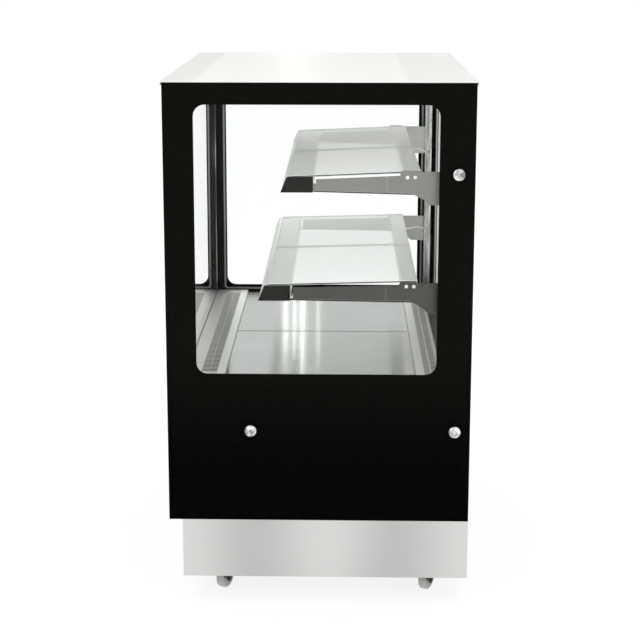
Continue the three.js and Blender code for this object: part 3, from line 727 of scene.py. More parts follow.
def glazing(name, axis, window, spacer_margins):
    """A sealed double unit with a black printed border, in the space of its CAD plate.

    window is the clear part's low and high corner in the outline's plane, and spacer_margins is how far the
    spacer stands outside it on each side, in the same order."""
    node = f"{name}_glass"
    low, high = box(node)
    across = "xyz".index(axis)
    plane = [i for i in range(3) if i != across]
    outward = 1 if low[across] + high[across] > 0 else -1
    outside = high[across] if outward > 0 else low[across]
    w0, w1, w2, w3 = window
    clear = rounded(w0, w1, w2, w3, WINDOW_RADIUS, 10)
    m0, m1, m2, m3 = spacer_margins
    inside_spacer = rounded(w0 - m0, w1 + m1, w2 - m2, w3 + m3, 6, 4)
    width = SPACER_WIDTH
    outside_spacer = rounded(w0 - m0 - width, w1 + m1 + width, w2 - m2 - width, w3 + m3 + width, 10, 4)
    inner_start = high[across] - low[across] - INNER_PANE
    cavity = PANE + 2 * GLAZING_GAP + PRINT

    def plate(inset):
        (u0, u1), (v0, v1) = ((low[i] + inset, high[i] - inset) for i in plane)
        return rectangle(u0, u1, v0, v1)

    def layer(start, thickness):
        return sorted((outside - outward * start, outside - outward * (start + thickness)))

    gap = layer(cavity, inner_start - cavity - GLAZING_GAP)
    outer = Shells().prism(axis, plate(0), *layer(0, PANE))
    piece(f"{name}_outer_pane", outer, OUTER_GLASS, slot="printed_glass", stands_for=[node], bevel=0.7)

    border = Shells().prism(axis, plate(EDGE), *layer(PANE + GLAZING_GAP, PRINT), [clear])
    piece(f"{name}_print", border, BLACK_PRINT, slot="black_print")

    bar = Shells().prism(axis, outside_spacer, *gap, [inside_spacer])
    piece(f"{name}_spacer", bar, SPACER_BAR, slot="frame_aluminium", bevel=0.3)

    seal = Shells().prism(axis, plate(EDGE), *gap, [outside_spacer])
    piece(f"{name}_seal", seal, GASKET, slot="gasket")

    inner = Shells().prism(axis, plate(0.5), *layer(inner_start, INNER_PANE))
    piece(f"{name}_inner_pane", inner, INNER_GLASS, slot="printed_glass", bevel=0.5)


def add_glass_units():
    window_x, window_y, window_z = (-424, 424), (-271, 260), (547, 1144.5)
    for _, side in SIDES:
        glazing(f"{side}_end", "x", (*window_y, *window_z), (4, 8, 8, 8))
    glazing("front", "y", (*window_x, *window_z), (6, 6, 8, 8))
    add_liner()


def add_liner():
    """The third pane, which stands between the front posts on a bead along the air strip."""
    _, post_high = box("front_post_left")
    half = abs(post_high.x) - 0.5
    rear = post_high.y - 1.5
    liner = Shells().prism("y", rectangle(-half, half, 535.5, 1184), rear - 3, rear)
    piece("front_liner_pane", liner, LINER_GLASS, slot="printed_glass", bevel=0.4)
    bead = Shells().prism("x", rounded(rear - 3.4, rear + 0.4, 533.5, 536.5, 0.8, 2), -half, half)
    piece("front_liner_bead", bead, GASKET, slot="gasket")


def add_standoff_caps():
    """Spun steel discs with a chamfered rim and a small dimple."""
    for sign, side in SIDES:
        for spot in ("upper_rear", "lower_front", "lower_rear"):
            node = f"{side}_cap_{spot}"
            low, high = box(node)
            centre = (low + high) / 2
            radius = (high.y - low.y) / 2
            face = max(abs(low.x), abs(high.x))
            back = box(f"{side}_end_glass")[1 if sign > 0 else 0].x
            thick = face - abs(back)
            profile = [(0, 0.2), (radius - 0.8, 0.2), (radius, 0.9), (radius, thick - 1.1),
                       (radius - 0.5, thick - 0.35), (radius - 1.3, thick), (2.6, thick),
                       (2.1, thick - 0.6), (0, thick - 0.8)]
            cap = Shells().turned(profile, "x", (0, 0, 0), 48)
            cap.moved(facing(sign, back, centre.y, centre.z))
            piece(f"{node}_disc", cap, SPUN_STEEL, slot="polished_steel", stands_for=[node])


# ---- Frame behind the glass ----
def add_posts():
    for sign, side in SIDES:
        add_front_post(sign, side)
    for _, side in SIDES:
        add_rear_upright(side)


def add_rear_upright(side):
    """A channel with a row of slots for the shelf hooks."""
    slot_pitch, slot_height, slot_width = 25, 14, 4
    first_slot, plain_ends, wall = 25, 40, 1.6
    node = f"rear_upright_{side}"
    low, high = box(node)
    slot_x = span((low.x + high.x) / 2, slot_width / 2)
    count = int((high.z - low.z - plain_ends) / slot_pitch)
    bottoms = [low.z + first_slot + i * slot_pitch for i in range(count)]
    holes = [rectangle(*slot_x, z, z + slot_height) for z in bottoms]
    upright = Shells().prism("y", rectangle(low.x, high.x, low.z, high.z), low.y, low.y + wall, holes)
    for start in (low.x, high.x - wall):
        upright.block((start, start + wall), (low.y + wall, high.y), (low.z, high.z))
    piece(f"{node}_channel", upright, POLISHED_STEEL, slot="polished_steel", stands_for=[node])


def add_front_post(sign, side):
    """A drawn post with shallow grooves along its inner face."""
    node = f"front_post_{side}"
    low, high = box(node)
    inner, outer = (low.x, high.x) if sign > 0 else (high.x, low.x)
    grooves, depth = 5, 1.2
    floor = inner + sign * depth
    step = (high.y - low.y) / grooves
    outline = []
    for index in range(grooves):
        start = low.y + index * step
        end = start + step
        outline += [(inner, start + 0.6), (floor, start + 1.5), (floor, end - 1.5), (inner, end - 0.6)]
    post = Shells().prism("z", outline + [(outer, high.y), (outer, low.y)], low.z, high.z)
    piece(f"{node}_profile", post, POST_STEEL, slot="frame_aluminium", stands_for=[node], bevel=0.25)


def add_top():
    dress("top_panel", TOP_STEEL, 0.9, 3, edge=RIM_PAINTED_HIGHLIGHT)
    low, high = box("top_light")
    rim, recess = low.z + 2, low.z + 5
    outline = [(low.y, high.z - 9), (low.y + 9, rim), (low.y + 11, rim), (low.y + 11, recess),
               (high.y - 11, recess), (high.y - 11, rim), (high.y - 9, rim), (high.y, high.z - 11),
               (high.y, high.z), (low.y, high.z)]
    housing = Shells().prism("x", outline, low.x, high.x)
    piece("top_light_housing", housing, RAIL_ALUMINIUM, slot="lamp", stands_for=["top_light"], bevel=0.5)
    middle, base = (low.y + high.y) / 2, low.z + 4.6
    lens = Shells().prism("x", arc(middle, base, 10.5, 180, 360, 12), low.x + 6, high.x - 6)
    flat = Matrix.Diagonal((1, 1, 0.4, 1))
    squeeze = Matrix.Translation((0, 0, base)) @ flat @ Matrix.Translation((0, 0, -base))
    piece("top_light_lens", lens.moved(squeeze), DIFFUSER, slot="led_diffuser")


# ---- Plinth, shell and casters ----
def add_base():
    dress("base_frame", PLINTH_STEEL, 1.3, 2, edge=EDGE_PAINTED_SHADE)
    dress("lower_shell", SHELL_PAINT, 1)


def fork_matrix(corner):
    """The matrix from a caster's own frame, with its swivel on Z and its wheel along +X, and its trail."""
    pivot, hub = joint_point(f"{corner}_swivel"), joint_point(f"{corner}_roll")
    turn = Matrix.Rotation(math.atan2(hub.y - pivot.y, hub.x - pivot.x), 4, "Z")
    return Matrix.Translation((pivot.x, pivot.y, 0)) @ turn, (hub - pivot).xy.length


def add_caster(corner):
    placed, trail = fork_matrix(corner)
    hub = (trail, 0, 25)
    half = [(4.3, -10), (8, -10), (9, -9), (9.4, -7.6), (17.2, -7.6), (18, -9.2), (19, -9.7), (22, -9.2),
            (24.2, -7.6), (24.9, -4)]
    other_half = [(radius, -height) for radius, height in reversed(half)]
    wheel = Shells().turned([*half, (25, 0), *other_half], "y", hub, 48, ring=True)
    for index in range(6):
        turn = Matrix.Translation(hub) @ Matrix.Rotation(index * math.pi / 3, 4, "Y")
        for face in (-1, 1):
            rib = Shells().block((8.6, 17.6), span(face * 7.2, 0.7), (-0.9, 0.9))
            wheel.join(rib.moved(turn))
    piece(f"caster_wheel_{corner}_tread", wheel.moved(placed), CASTER_TREAD, body=f"{corner}_wheel",
          slot="caster_tread", stands_for=[f"caster_wheel_{corner}"])

    cheek = [(-15, 57), (-12, 50), (trail - 11, 24), *arc(trail, 24.5, 9, 200, 340, 10), (trail + 9, 32),
             (trail + 4, 57)]
    fork = Shells()
    for face in (-1, 1):
        fork.prism("y", cheek, *sorted((face * 11.5, face * 14)))
        start, end = sorted((face * 14, face * 17))
        fork.turned([(0, start), (5.5, start), (5.5, end), (0, end)], "y", hub, 6)
    fork.prism("z", [(-15, -14), *arc(trail - 8, 0, 14, -90, 90, 10), (-15, 14)], 55, 57.6)
    kingpin = [(0, 57), (19, 57), (19, 60), (17.5, 61), (17.5, 63.5), (18.5, 64.4), (18.5, 66), (6, 66),
               (6, 79), (0, 79)]
    fork.turned(kingpin, "z", (0, 0, 0), 36)
    fork.turned([(0, -14), (4, -14), (4, 14), (0, 14)], "y", hub, 20)
    piece(f"caster_fork_{corner}_yoke", fork.moved(placed), CASTER_STEEL, body=f"{corner}_fork",
          slot="caster_steel", stands_for=[f"caster_fork_{corner}"])


# ---- Deck ----
STRIP_TOP = 534
STRIP_UNDERSIDE = 532


def spaced(start, end, pitch, width):
    """Edges of equal slots between start and end."""
    count = int((end - start) / pitch)
    edges = []
    for index in range(count):
        at = start + index * pitch
        edges += [at, at + width]
    return edges


def air_strip(node, xs_limits, slot_rows, notch=None):
    """A steel strip with rows of slots, and its box. notch is where its corners are cut for the posts."""
    low, high = box(node)
    pitch, width = 11, 6.2
    inner = spaced(*xs_limits, pitch, width)
    notch_xs, notch_ys = ([notch[0], -notch[0]], [notch[1]]) if notch else ([], [])
    us = sorted({low.x, high.x, *notch_xs, *inner})
    vs = sorted({low.y, high.y, *notch_ys, *(v for row in slot_rows for v in row)})

    def is_hole(i, j):
        in_row = any(row[0] <= (vs[j] + vs[j + 1]) / 2 <= row[1] for row in slot_rows)
        middle = (us[i] + us[i + 1]) / 2
        slotted = us[i] in inner and inner.index(us[i]) % 2 == 0
        cut = notch is not None and abs(middle) > abs(notch[0]) and vs[j] < notch[1]
        return (in_row and slotted) or cut

    return Shells().lattice(us, vs, STRIP_UNDERSIDE, STRIP_TOP, is_hole), low, high


def add_deck():
    post = box("front_post_right")
    rows = [(-267, -249.4), (-248.6, -231)]
    front, low, high = air_strip("front_grille", (-398, 398), rows, (-post[0].x + 0.3, post[1].y + 0.3))
    front.block((low.x, high.x), (high.y - 2, high.y), (low.z, STRIP_UNDERSIDE))
    piece("front_air_strip", front, STRIP_STEEL, slot="deck_steel", stands_for=["front_grille"])

    rear, low, high = air_strip("rear_grille", (-425, 425), [(238, 251.5), (254, 267.5)])
    rear.block((low.x, high.x), (low.y, low.y + 2), (low.z, STRIP_UNDERSIDE))
    rear.block((low.x, high.x), (high.y - 2, high.y), (low.z, STRIP_UNDERSIDE))
    piece("rear_air_strip", rear, STRIP_STEEL, slot="deck_steel", stands_for=["rear_grille"])
    low, high = box("deck_pan_right")
    seam = Shells().block((-1.6, 1.6), (low.y + 2, high.y - 2), (high.z - 0.4, high.z + 0.5))
    piece("deck_seam", seam, SEAM_STEEL, slot="deck_steel")
    for _, side in SIDES:
        dress(f"deck_pan_{side}", DECK_STEEL, 0.9, 3)


# ---- Shelves ----
def section(node, at_x):
    """The (Y, Z) corners of a CAD prism's end at X, in order round the outline."""
    corners = [vertex.co / MM for vertex in frame["nodes"][node].data.vertices]
    points = {(round(corner.y, 3), round(corner.z, 3)) for corner in corners if abs(corner.x - at_x) < 0.1}
    middle = Vector((sum(p[0] for p in points), sum(p[1] for p in points))) / len(points)
    return sorted(points, key=lambda p: math.atan2(p[1] - middle.y, p[0] - middle.x))


def add_front_rail(tier):
    """A hollow-looking profile: price groove on the slanted front, lamp lens below."""
    node = f"{tier}_shelf_front_rail"
    low, high = box(node)
    bottom_front, bottom_rear, top_rear, top_front = section(node, high.x)
    slant = Vector(top_front) - Vector(bottom_front)
    inward = Vector((slant.y, -slant.x)).normalized()

    def on_front(share, depth):
        point = Vector(bottom_front) + slant * share + inward * depth
        return (point.x, point.y)

    grooves = [(0, 0), (0.08, 0), (0.1, 1.2), (0.14, 1.2), (0.16, 0), (0.24, 0), (0.26, 2.2), (0.84, 2.2),
               (0.86, 0)]
    front = [on_front(share, depth) for share, depth in grooves]
    lens_front, lens_rear = bottom_front[0] + 22, bottom_rear[0] - 16
    base = bottom_rear[1]
    channel = [(lens_rear, base), (lens_rear, base + 4), (lens_front, base + 4), (lens_front, base)]
    rail = Shells().prism("x", [*front, top_front, top_rear, bottom_rear, *channel], low.x, high.x)
    piece(f"{tier}_front_rail", rail, RAIL_ALUMINIUM, slot="shelf_aluminium", stands_for=[node], bevel=0.4)

    lens = Shells().prism("x", rectangle(lens_front + 0.3, lens_rear - 0.3, base + 0.6, base + 3.7),
                          low.x + 4, high.x - 4)
    piece(f"{tier}_lamp_lens", lens, DIFFUSER, slot="led_diffuser", bevel=0.5)

    corners = [on_front(0.27, 0.3), on_front(0.27, 1.9), on_front(0.83, 1.9), on_front(0.83, 0.3)]
    strip = Shells().prism("x", corners, low.x + 2, high.x - 2)
    piece(f"{tier}_price_strip", strip, LEAD_SHEATH, slot="led_diffuser", bevel=0.3)


# Each shelf's own heights and places in its side view, with its rail and glass as (Y, Z) corners.
SHELVES = {
    "upper": {"rail": (-70.3, 984.9), "glass": ((-68, 986.7), (221.5, 999.5)), "arm_bottom": 946.6,
              "hook_top": 999.5, "notch": 9, "screws": -3},
    "lower": {"rail": (-120.9, 742), "glass": ((-114, 745.6), (217.4, 754.9)), "arm_bottom": 705.6,
              "hook_top": 751.7, "notch": 25, "screws": 1.5},
}
RAIL_TOP_WIDTH = 57
RAIL_HEIGHT = 33.5
GLASS_THICKNESS = 5


def glass_underside(tier, y):
    (y0, z0), (y1, z1) = SHELVES[tier]["glass"]
    slope = (z1 - z0) / (y1 - y0)
    return z0 + slope * (y - y0) - GLASS_THICKNESS * math.hypot(1, slope)


def add_shelf(tier):
    add_front_rail(tier)
    dress(f"{tier}_shelf_rear_rail", RAIL_ALUMINIUM, 0.8)
    for sign, side in SIDES:
        dress(f"{tier}_shelf_cap_{side}", CAP_PLASTIC, 1.4, 3)
        add_shelf_glass(tier, side)
        add_bracket(tier, sign, side)
    add_lead(tier)


def add_shelf_glass(tier, side):
    node = f"{tier}_shelf_glass_{side}"
    low, high = box(node)
    (y0, z0), (y1, z1) = SHELVES[tier]["glass"]
    along = Vector((y1 - y0, z1 - z0)).normalized() * GLASS_THICKNESS
    outline = [(y0, z0), (y0 + along.y, z0 - along.x), (y1 + along.y, z1 - along.x), (y1, z1)]
    glass = Shells().prism("x", outline, low.x, high.x)
    # The cut edges take their painted light and shade by which way they face.
    rims = [(FRONT_REAR_RIM_PAINTED_SHADE, lambda normal, centre: abs(normal.y) > 0.7),
            (SEAM_RIM_PAINTED_LIGHT, lambda normal, centre: abs(normal.x) > 0.7),
            (END_RIM_PAINTED_SHADE, lambda normal, centre: normal.x > 0.7 and centre.x > 400 * MM)]
    piece(f"{node}_sheet", glass, SHELF_GLASS, slot="clear_glass", stands_for=[node], bevel=1.3,
          others=rims, edge=RIM_PAINTED_HIGHLIGHT)


def add_bracket(tier, sign, side):
    """A pressed arm with a notch beside its cap, a rolled lower edge, a thicker rear and two screws."""
    node = f"{tier}_shelf_bracket_{side}"
    low, high = box(node)
    shelf = SHELVES[tier]
    rail_front, rail_top = shelf["rail"]
    front = rail_front + RAIL_TOP_WIDTH + 0.3
    bottom = rail_top - RAIL_HEIGHT
    hook = bottom - 27.7
    crease, rear_start = 146, 202.5
    arm_bottom, hook_top = shelf["arm_bottom"], shelf["hook_top"]

    def arm_top(y):
        return glass_underside(tier, y) - 4.5

    def arm_low(y):
        return bottom + 1 + (arm_bottom - bottom - 1) * (y - front) / (rear_start - front)

    rear = [(rear_start, arm_bottom), *arc(rear_start, arm_bottom - 18, 18, 90, 55, 3)[1:],
            (232, hook + 9.5), (236.5, hook + 4), (241, hook + 1), (247, hook), (276, hook),
            (276, hook_top - 2.5), (216, hook_top - 2.5), (214, hook_top), (180, hook_top),
            (176, arm_top(176))]
    notch = front + 5.8
    notch_top, notch_floor = arm_top(notch), arm_top(notch) - shelf["notch"]
    outline = [(front, bottom + 1), *rear, (notch, notch_top), (notch, notch_floor),
               (front, arm_top(front) - shelf["notch"])]
    inner, outer = (low.x, high.x) if sign > 0 else (high.x, low.x)

    def skin(thickness, start=0.0):
        return sorted((inner + sign * start, inner + sign * thickness))

    bracket = Shells().prism("x", outline, *skin(1.8))
    bracket.prism("x", [(crease, arm_low(crease)), *rear, (crease, arm_top(crease))], *skin(2.2, 0.4))
    bracket.prism("x", rectangle(266, 276, hook, hook_top - 2.5), *skin(3, 0.4))
    # All but the inner faces take the painted-shade copy of the arm steel.
    piece(f"{node}_arm", bracket, ARM_INNER_PAINTED_LIGHT, slot="shelf_steel", stands_for=[node], bevel=0.3,
          others=[(ARM_OUTER_PAINTED_SHADE, lambda normal, centre: normal.x * sign > -0.3)])

    edge_ys = (front + 1, crease, rear_start - 0.5)
    hem = Shells().tube([(outer - sign * 1.2, y, arm_low(y) + 3.4) for y in edge_ys], 1.2, 10, 1)
    hem.block(sorted((outer - sign * 0.9, outer - sign * 0.4)), (147, 148.6),
              (arm_low(148) + 3, arm_top(148) - 1))
    piece(f"{node}_hem", hem, HEM_STEEL, slot="shelf_steel")
    lip = Shells().tube([(outer - sign, y, arm_low(y) + 0.6) for y in edge_ys], 0.9, 8, 1)
    piece(f"{node}_lip", lip, GASKET, slot="gasket")

    rail_low, rail_high = box(f"{tier}_shelf_rear_rail")
    middle_y = (rail_low.y + rail_high.y) / 2 + shelf["screws"]
    height = rail_low.z + 12.5
    screws = Shells()
    profile = [(0, -1), (4.2, -1), (4.2, 0.2), (3.7, 1.2), (2.4, 1.9), (1.4, 2), (1.2, 1.3), (0, 1.2)]
    for offset in (-8.3, 8.3):
        head = Shells().turned(profile, "x", (0, 0, 0), 24)
        screws.join(head.moved(facing(sign, inner + sign * 2.2, middle_y + offset, height)))
    piece(f"{node}_screws", screws, SCREW_STEEL, slot="polished_steel")


# The lamp leads, each from its rail's grommet to its plug.
LEAD_ROUTES = {
    "upper": [
        (0, 222, 991.5), (-7, 229.5, 991), (-30, 236, 988), (-130, 246, 975), (-240, 259, 957),
        (-340, 272, 941), (-395, 281, 932), (-418.4, 286, 928),
    ],
    "lower": [
        (-250, 217.9, 745), (-255, 225, 745), (-275, 235, 743), (-320, 248, 737), (-370, 266, 726),
        (-402, 280, 718), (-418.4, 286, 714.5),
    ],
}
LEAD_LENGTHS = {"upper": 431, "lower": 186.5}
LEAD_RADIUS = 1.6


def add_lead(tier):
    """The lamp lead, held at both ends, with its grommet at the rail and its plug at the upright."""
    points = LEAD_ROUTES[tier]
    tube = Shells().tube(points, LEAD_RADIUS, 14)
    lead = piece(f"{tier}_lamp_lead", tube, LEAD_SHEATH, slot="lead", stands_for=[f"{tier}_shelf_lead"])
    hole = LEAD_RADIUS
    grommet = [(hole, -0.2), (4, -0.2), (4, 1.5), (2.8, 3), (hole, 3)]
    shell = [(hole, 0), (3.6, 0), (3.6, 7), (2.6, 9), (hole, 9)]
    ends = Shells().turned(grommet, "y", Vector(points[0]) - Vector((0, 0.5, 0)), 20, ring=True)
    ends.turned(shell, "x", Vector(points[-1]) - Vector((0.2, 0, 0)), 20, ring=True)
    plug = piece(f"{tier}_lamp_lead_ends", ends, LEAD_SHEATH, slot="lead")
    route = [Vector(point) * MM for point in points]
    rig.cord(lead, exit=route[0], length=LEAD_LENGTHS[tier] * MM, diameter=2 * LEAD_RADIUS * MM,
            far_end="connector", stiffness="limp", lay="taut", path=smooth_route(route, 6),
            with_pieces=[plug])


# ---- Sliding doors and rear panel ----
def add_door(side):
    """A door with a recessed pull on its outer face and a bead round its glass on both faces."""
    body = f"{side}_door"
    dress(f"{side}_door_frame", FRAME_ALUMINIUM, 0.9)
    dress(f"{side}_door_glass", INNER_GLASS, 0.5)
    low, high = box(f"{side}_door_frame")
    stile = 28
    x0, x1, z0, z1 = low.x + stile, high.x - stile, low.z + stile, high.z - stile
    opening = rounded(x0 + 3, x1 - 3, z0 + 3, z1 - 3, 5)
    bead = Shells()
    for y in (low.y, high.y):
        bead.prism("y", rectangle(x0 - 1.5, x1 + 1.5, z0 - 1.5, z1 + 1.5), *span(y, 0.7), [opening])
    piece(f"{side}_door_bead", bead, GASKET, body=body, slot="gasket", bevel=0.3)

    pull_x = low.x + 14 if side == "left" else high.x - 14
    middle = (low.z + high.z) / 2
    outline = rounded(*span(pull_x, 10), *span(middle, 70), 9.8, 8)
    hollow = rounded(*span(pull_x, 7), *span(middle, 67), 6.9, 8)
    pull = Shells().prism("y", outline, high.y - 0.5, high.y + 1.6, [hollow])
    pull.prism("y", hollow, *span(high.y, 0.3))
    piece(f"{side}_door_pull", pull, SWITCH_PLASTIC, body=body, slot="switch_plastic", bevel=0.6)


def add_doors():
    dress("rear_door_frame", FRAME_ALUMINIUM, 0.7)
    for side in ("left", "right"):
        add_door(side)
    low, high = box("rear_door_frame")
    seals = Shells()
    for x in (low.x + 21, high.x - 21):
        seals.block(span(x, 1.5), (low.y - 0.8, low.y + 0.6), (low.z + 40, high.z - 40))
    piece("rear_door_seals", seals, GASKET, slot="gasket", bevel=0.4)


REAR_PANEL_THICKNESS = 5
CORD_GLAND = (-417, 252)
GLAND_BORE = 4.5


def add_rear_panel():
    """A panel with louvres, the power cord's gland, two switch bezels, a small plain display and screws."""
    low, high = box("machine_grille")
    rear = low.y + REAR_PANEL_THICKNESS
    switches = [joint_point(name) for name in ("light_switch_rock", "power_switch_rock")]
    openings = [rectangle(*span(x, 10), *span(z, 14.2)) for x, _, z in switches]
    slots, hoods = [], Shells()
    for x0, x1 in ((-400, -170), (-130, 130)):
        for row in range(9):
            z = 235 + 22 * row
            slots.append(rectangle(x0, x1, z, z + 7))
            hood = [(rear - 0.5, z + 11), (rear + 0.2, z + 11), (rear + 5, z + 2.5), (rear + 5, z + 1),
                    (rear + 4.2, z + 1), (rear - 0.5, z + 9)]
            hoods.prism("x", hood, x0 - 3, x1 + 3)
    gland_x, gland_z = CORD_GLAND
    gland_hole = circle(gland_x, gland_z, GLAND_BORE, 32)
    holes = [*openings, *slots, gland_hole]
    panel = Shells().prism("y", rectangle(low.x, high.x, low.z, high.z), low.y, rear, holes)
    piece("rear_panel_sheet", panel, SHELL_PAINT, slot="shell_paint", stands_for=["machine_grille"],
          bevel=0.7)
    piece("rear_panel_louvres", hoods, SHELL_PAINT, slot="shell_paint", bevel=0.3)

    collar = [(GLAND_BORE, -5), (7, -5), (7, -0.3), (10, -0.3), (10, 2), (8.6, 3), (7.6, 6), (6, 6),
              (GLAND_BORE, 4.6)]
    gland = Shells().turned(collar, "y", (gland_x, rear, gland_z), 32, ring=True)
    piece("cord_gland", gland, SWITCH_PLASTIC, slot="switch_plastic", bevel=0.3)

    bezels = Shells()
    for x, _, z in switches:
        rocker = rectangle(*span(x, 9.9), *span(z, 14.1))
        bezels.prism("y", rounded(*span(x, 13.5), *span(z, 18), 3), rear - 0.5, rear + 1.4, [rocker])
    opening = rounded(206, 270, 347, 373, 2)
    bezels.prism("y", rounded(200, 276, 343, 377, 4), rear - 0.5, rear + 3, [opening])
    piece("rear_panel_bezels", bezels, SWITCH_PLASTIC, slot="switch_plastic", bevel=0.6)
    window = Shells().prism("y", rounded(206.2, 269.8, 347.2, 372.8, 2), rear - 0.4, rear + 1.6)
    piece("rear_panel_display", window, DISPLAY, slot="switch_plastic", bevel=0.4)

    screws = Shells()
    profile = [(0, -1), (5, -1), (5, 0.4), (3.4, 2), (1.5, 2.4), (1.3, 1.4), (0, 1.3)]
    for x in (low.x + 14, 165, high.x - 14):
        for z in (low.z + 14, high.z - 14):
            screws.turned(profile, "y", (x, rear, z), 20)
    piece("rear_panel_screws", screws, SCREW_STEEL, slot="polished_steel")
    for name in ("light_switch", "power_switch"):
        dress(name, SWITCH_PLASTIC, 0.8, 3)


# ---- Refrigeration ----
FIN = 0.5


def places(start, end, pitch):
    """Places from start, a pitch apart, that lie before the end."""
    at = start
    while at < end:
        yield at
        at += pitch


def add_evaporator():
    """A finned coil with hairpin bends, and the fan's plate beside it."""
    low, high = box("evaporator")
    coil_end = -5
    fins = Shells()
    for x in places(low.x + 14, coil_end - 12, 4.5):
        fins.block((x, x + FIN), (low.y + 3, high.y - 3), (low.z + 4, high.z - 1))
    piece("evaporator_fins", fins, COIL_FINS, slot="coil_aluminium", stands_for=["evaporator"])

    plates = Shells().block((low.x, high.x), (low.y, high.y), (low.z, low.z + 2))
    for x in (low.x + 10, coil_end - 11):
        plates.block((x, x + 1.5), (low.y, high.y), (low.z + 2, high.z))
    fan = joint_point("evaporator_fan_spin")
    plates.prism("z", rectangle(coil_end, high.x, low.y, high.y), high.z - 4, high.z - 2.5,
                 [circle(fan.x, fan.y, 70, 48)])
    for y in (low.y, high.y - 1.5):
        plates.block((coil_end, high.x), (y, y + 1.5), (low.z + 2, high.z - 2.5))
    motor = [(0, low.z + 2), (21, low.z + 2), (21, 468), (18, 470.5), (0, 470.5)]
    plates.turned(motor, "z", (fan.x, fan.y, 0), 32)
    piece("evaporator_plates", plates, COIL_FINS, slot="coil_aluminium", bevel=0.2)

    pipes = Shells()
    heights = (low.z + 16, low.z + 42)
    rows = [low.y + 20 + 25 * i for i in range(7)]
    for z in heights:
        for y in rows:
            pipes.tube([(low.x + 9, y, z), (coil_end - 7, y, z)], 4.5, 12, 1)
        for index, (y0, y1) in enumerate(zip(rows, rows[1:])):
            x, bulge = (low.x + 9, -1) if index % 2 else (coil_end - 8, 1)
            middle = (y0 + y1) / 2
            reach = 6.5 if bulge < 0 else 5
            bend = [(x + bulge * reach * math.sin(a), middle - (y1 - y0) / 2 * math.cos(a), z)
                    for a in (math.pi * k / 6 for k in range(7))]
            pipes.tube(bend, 2.4, 12, 2)
    piece("evaporator_pipes", pipes, COPPER, slot="coil_aluminium")


def add_condenser():
    """A finned block behind its fan, with the fan's guard ring and motor."""
    low, high = box("condenser")
    fan = joint_point("condenser_fan_spin")
    coil = (150, 200)
    y0, y1 = -120, 200
    z0, z1 = low.z, high.z
    fins = Shells()
    for y in places(y0 + 6, y1 - 6, 4):
        fins.block((coil[0] + 2, coil[1] - 2), (y, y + FIN), (z0 + 4, z1 - 4))
    piece("condenser_fins", fins, COIL_FINS, slot="coil_aluminium", stands_for=["condenser"])

    case = Shells()
    for z in (z0, z1 - 2):
        case.block(coil, (y0, y1), (z, z + 2))
    for y in (y0, y1 - 2):
        case.block(coil, (y, y + 2), (z0 + 2, z1 - 2))
    case.prism("x", rectangle(y0, y1, z0, z1), 147, 150, [circle(fan.y, fan.z, 121, 64)])
    case.turned([(0, 131.5), (26, 131.5), (28, 133.5), (28, 149), (0, 149)], "x", (0, fan.y, fan.z), 32)
    for angle in (45, 135, 225, 315):
        a = math.radians(angle)
        spoke = [(147.5, fan.y + r * math.cos(a), fan.z + r * math.sin(a)) for r in (26, 124)]
        case.tube(spoke, 2.4, 10, 1)
    piece("condenser_case", case, UNIT_ENAMEL, slot="unit_paint", bevel=0.3)

    pipes = Shells()
    for z in (z0 + 22 + 28 * i for i in range(10)):
        for x in (163, 187):
            pipes.tube([(x, y0 + 1, z), (x, y1 - 1, z)], 4, 12, 1)
    piece("condenser_pipes", pipes, COPPER, slot="coil_aluminium")


def add_fan(node, axis, body, radius, hub_radius):
    """A hub with twisted blades inside its CAD disc."""
    blades, steps = 5, 6
    low, high = box(node)
    centre = (low + high) / 2
    along = "xyz".index(axis)
    centre[along] = 0
    w0, w1 = low[along], high[along]
    hub = [(0, w0), (hub_radius, w0), (hub_radius, w1 - 2), (hub_radius - 2, w1), (0, w1)]
    fan = Shells().turned(hub, axis, centre, 40)
    root = hub_radius * 0.9
    middle = (w0 + w1) / 2
    for blade in range(blades):
        rows = []
        for i in range(steps + 1):
            share = i / steps
            r = root + (radius - root) * share
            spread = math.radians(15 + 9 * share)
            lead = math.radians(360 / blades * blade + 16 * share)
            height = (w1 - w0) * (0.42 - 0.16 * share)
            corners = []
            for turn, rise in ((-spread, -height), (spread, height)):
                for face in (-0.9, 0.9):
                    u, v = r * math.cos(lead + turn), r * math.sin(lead + turn)
                    corners.append(centre + place(axis, u, v, middle + rise + face))
            rows.append(corners)
        verts = [corner for row in rows for corner in row]
        faces = [(0, 1, 3, 2), tuple(4 * steps + k for k in (0, 2, 3, 1))]
        for i in range(steps):
            a, b = 4 * i, 4 * i + 4
            faces += [(a, b, b + 1, a + 1), (a + 2, a + 3, b + 3, b + 2), (a, a + 2, b + 2, b),
                      (a + 1, b + 1, b + 3, a + 3)]
        fan.add(verts, faces)
    piece(f"{node}_blades", fan, FAN_PLASTIC, body=body, slot="fan_plastic", stands_for=[node], bevel=0.3)


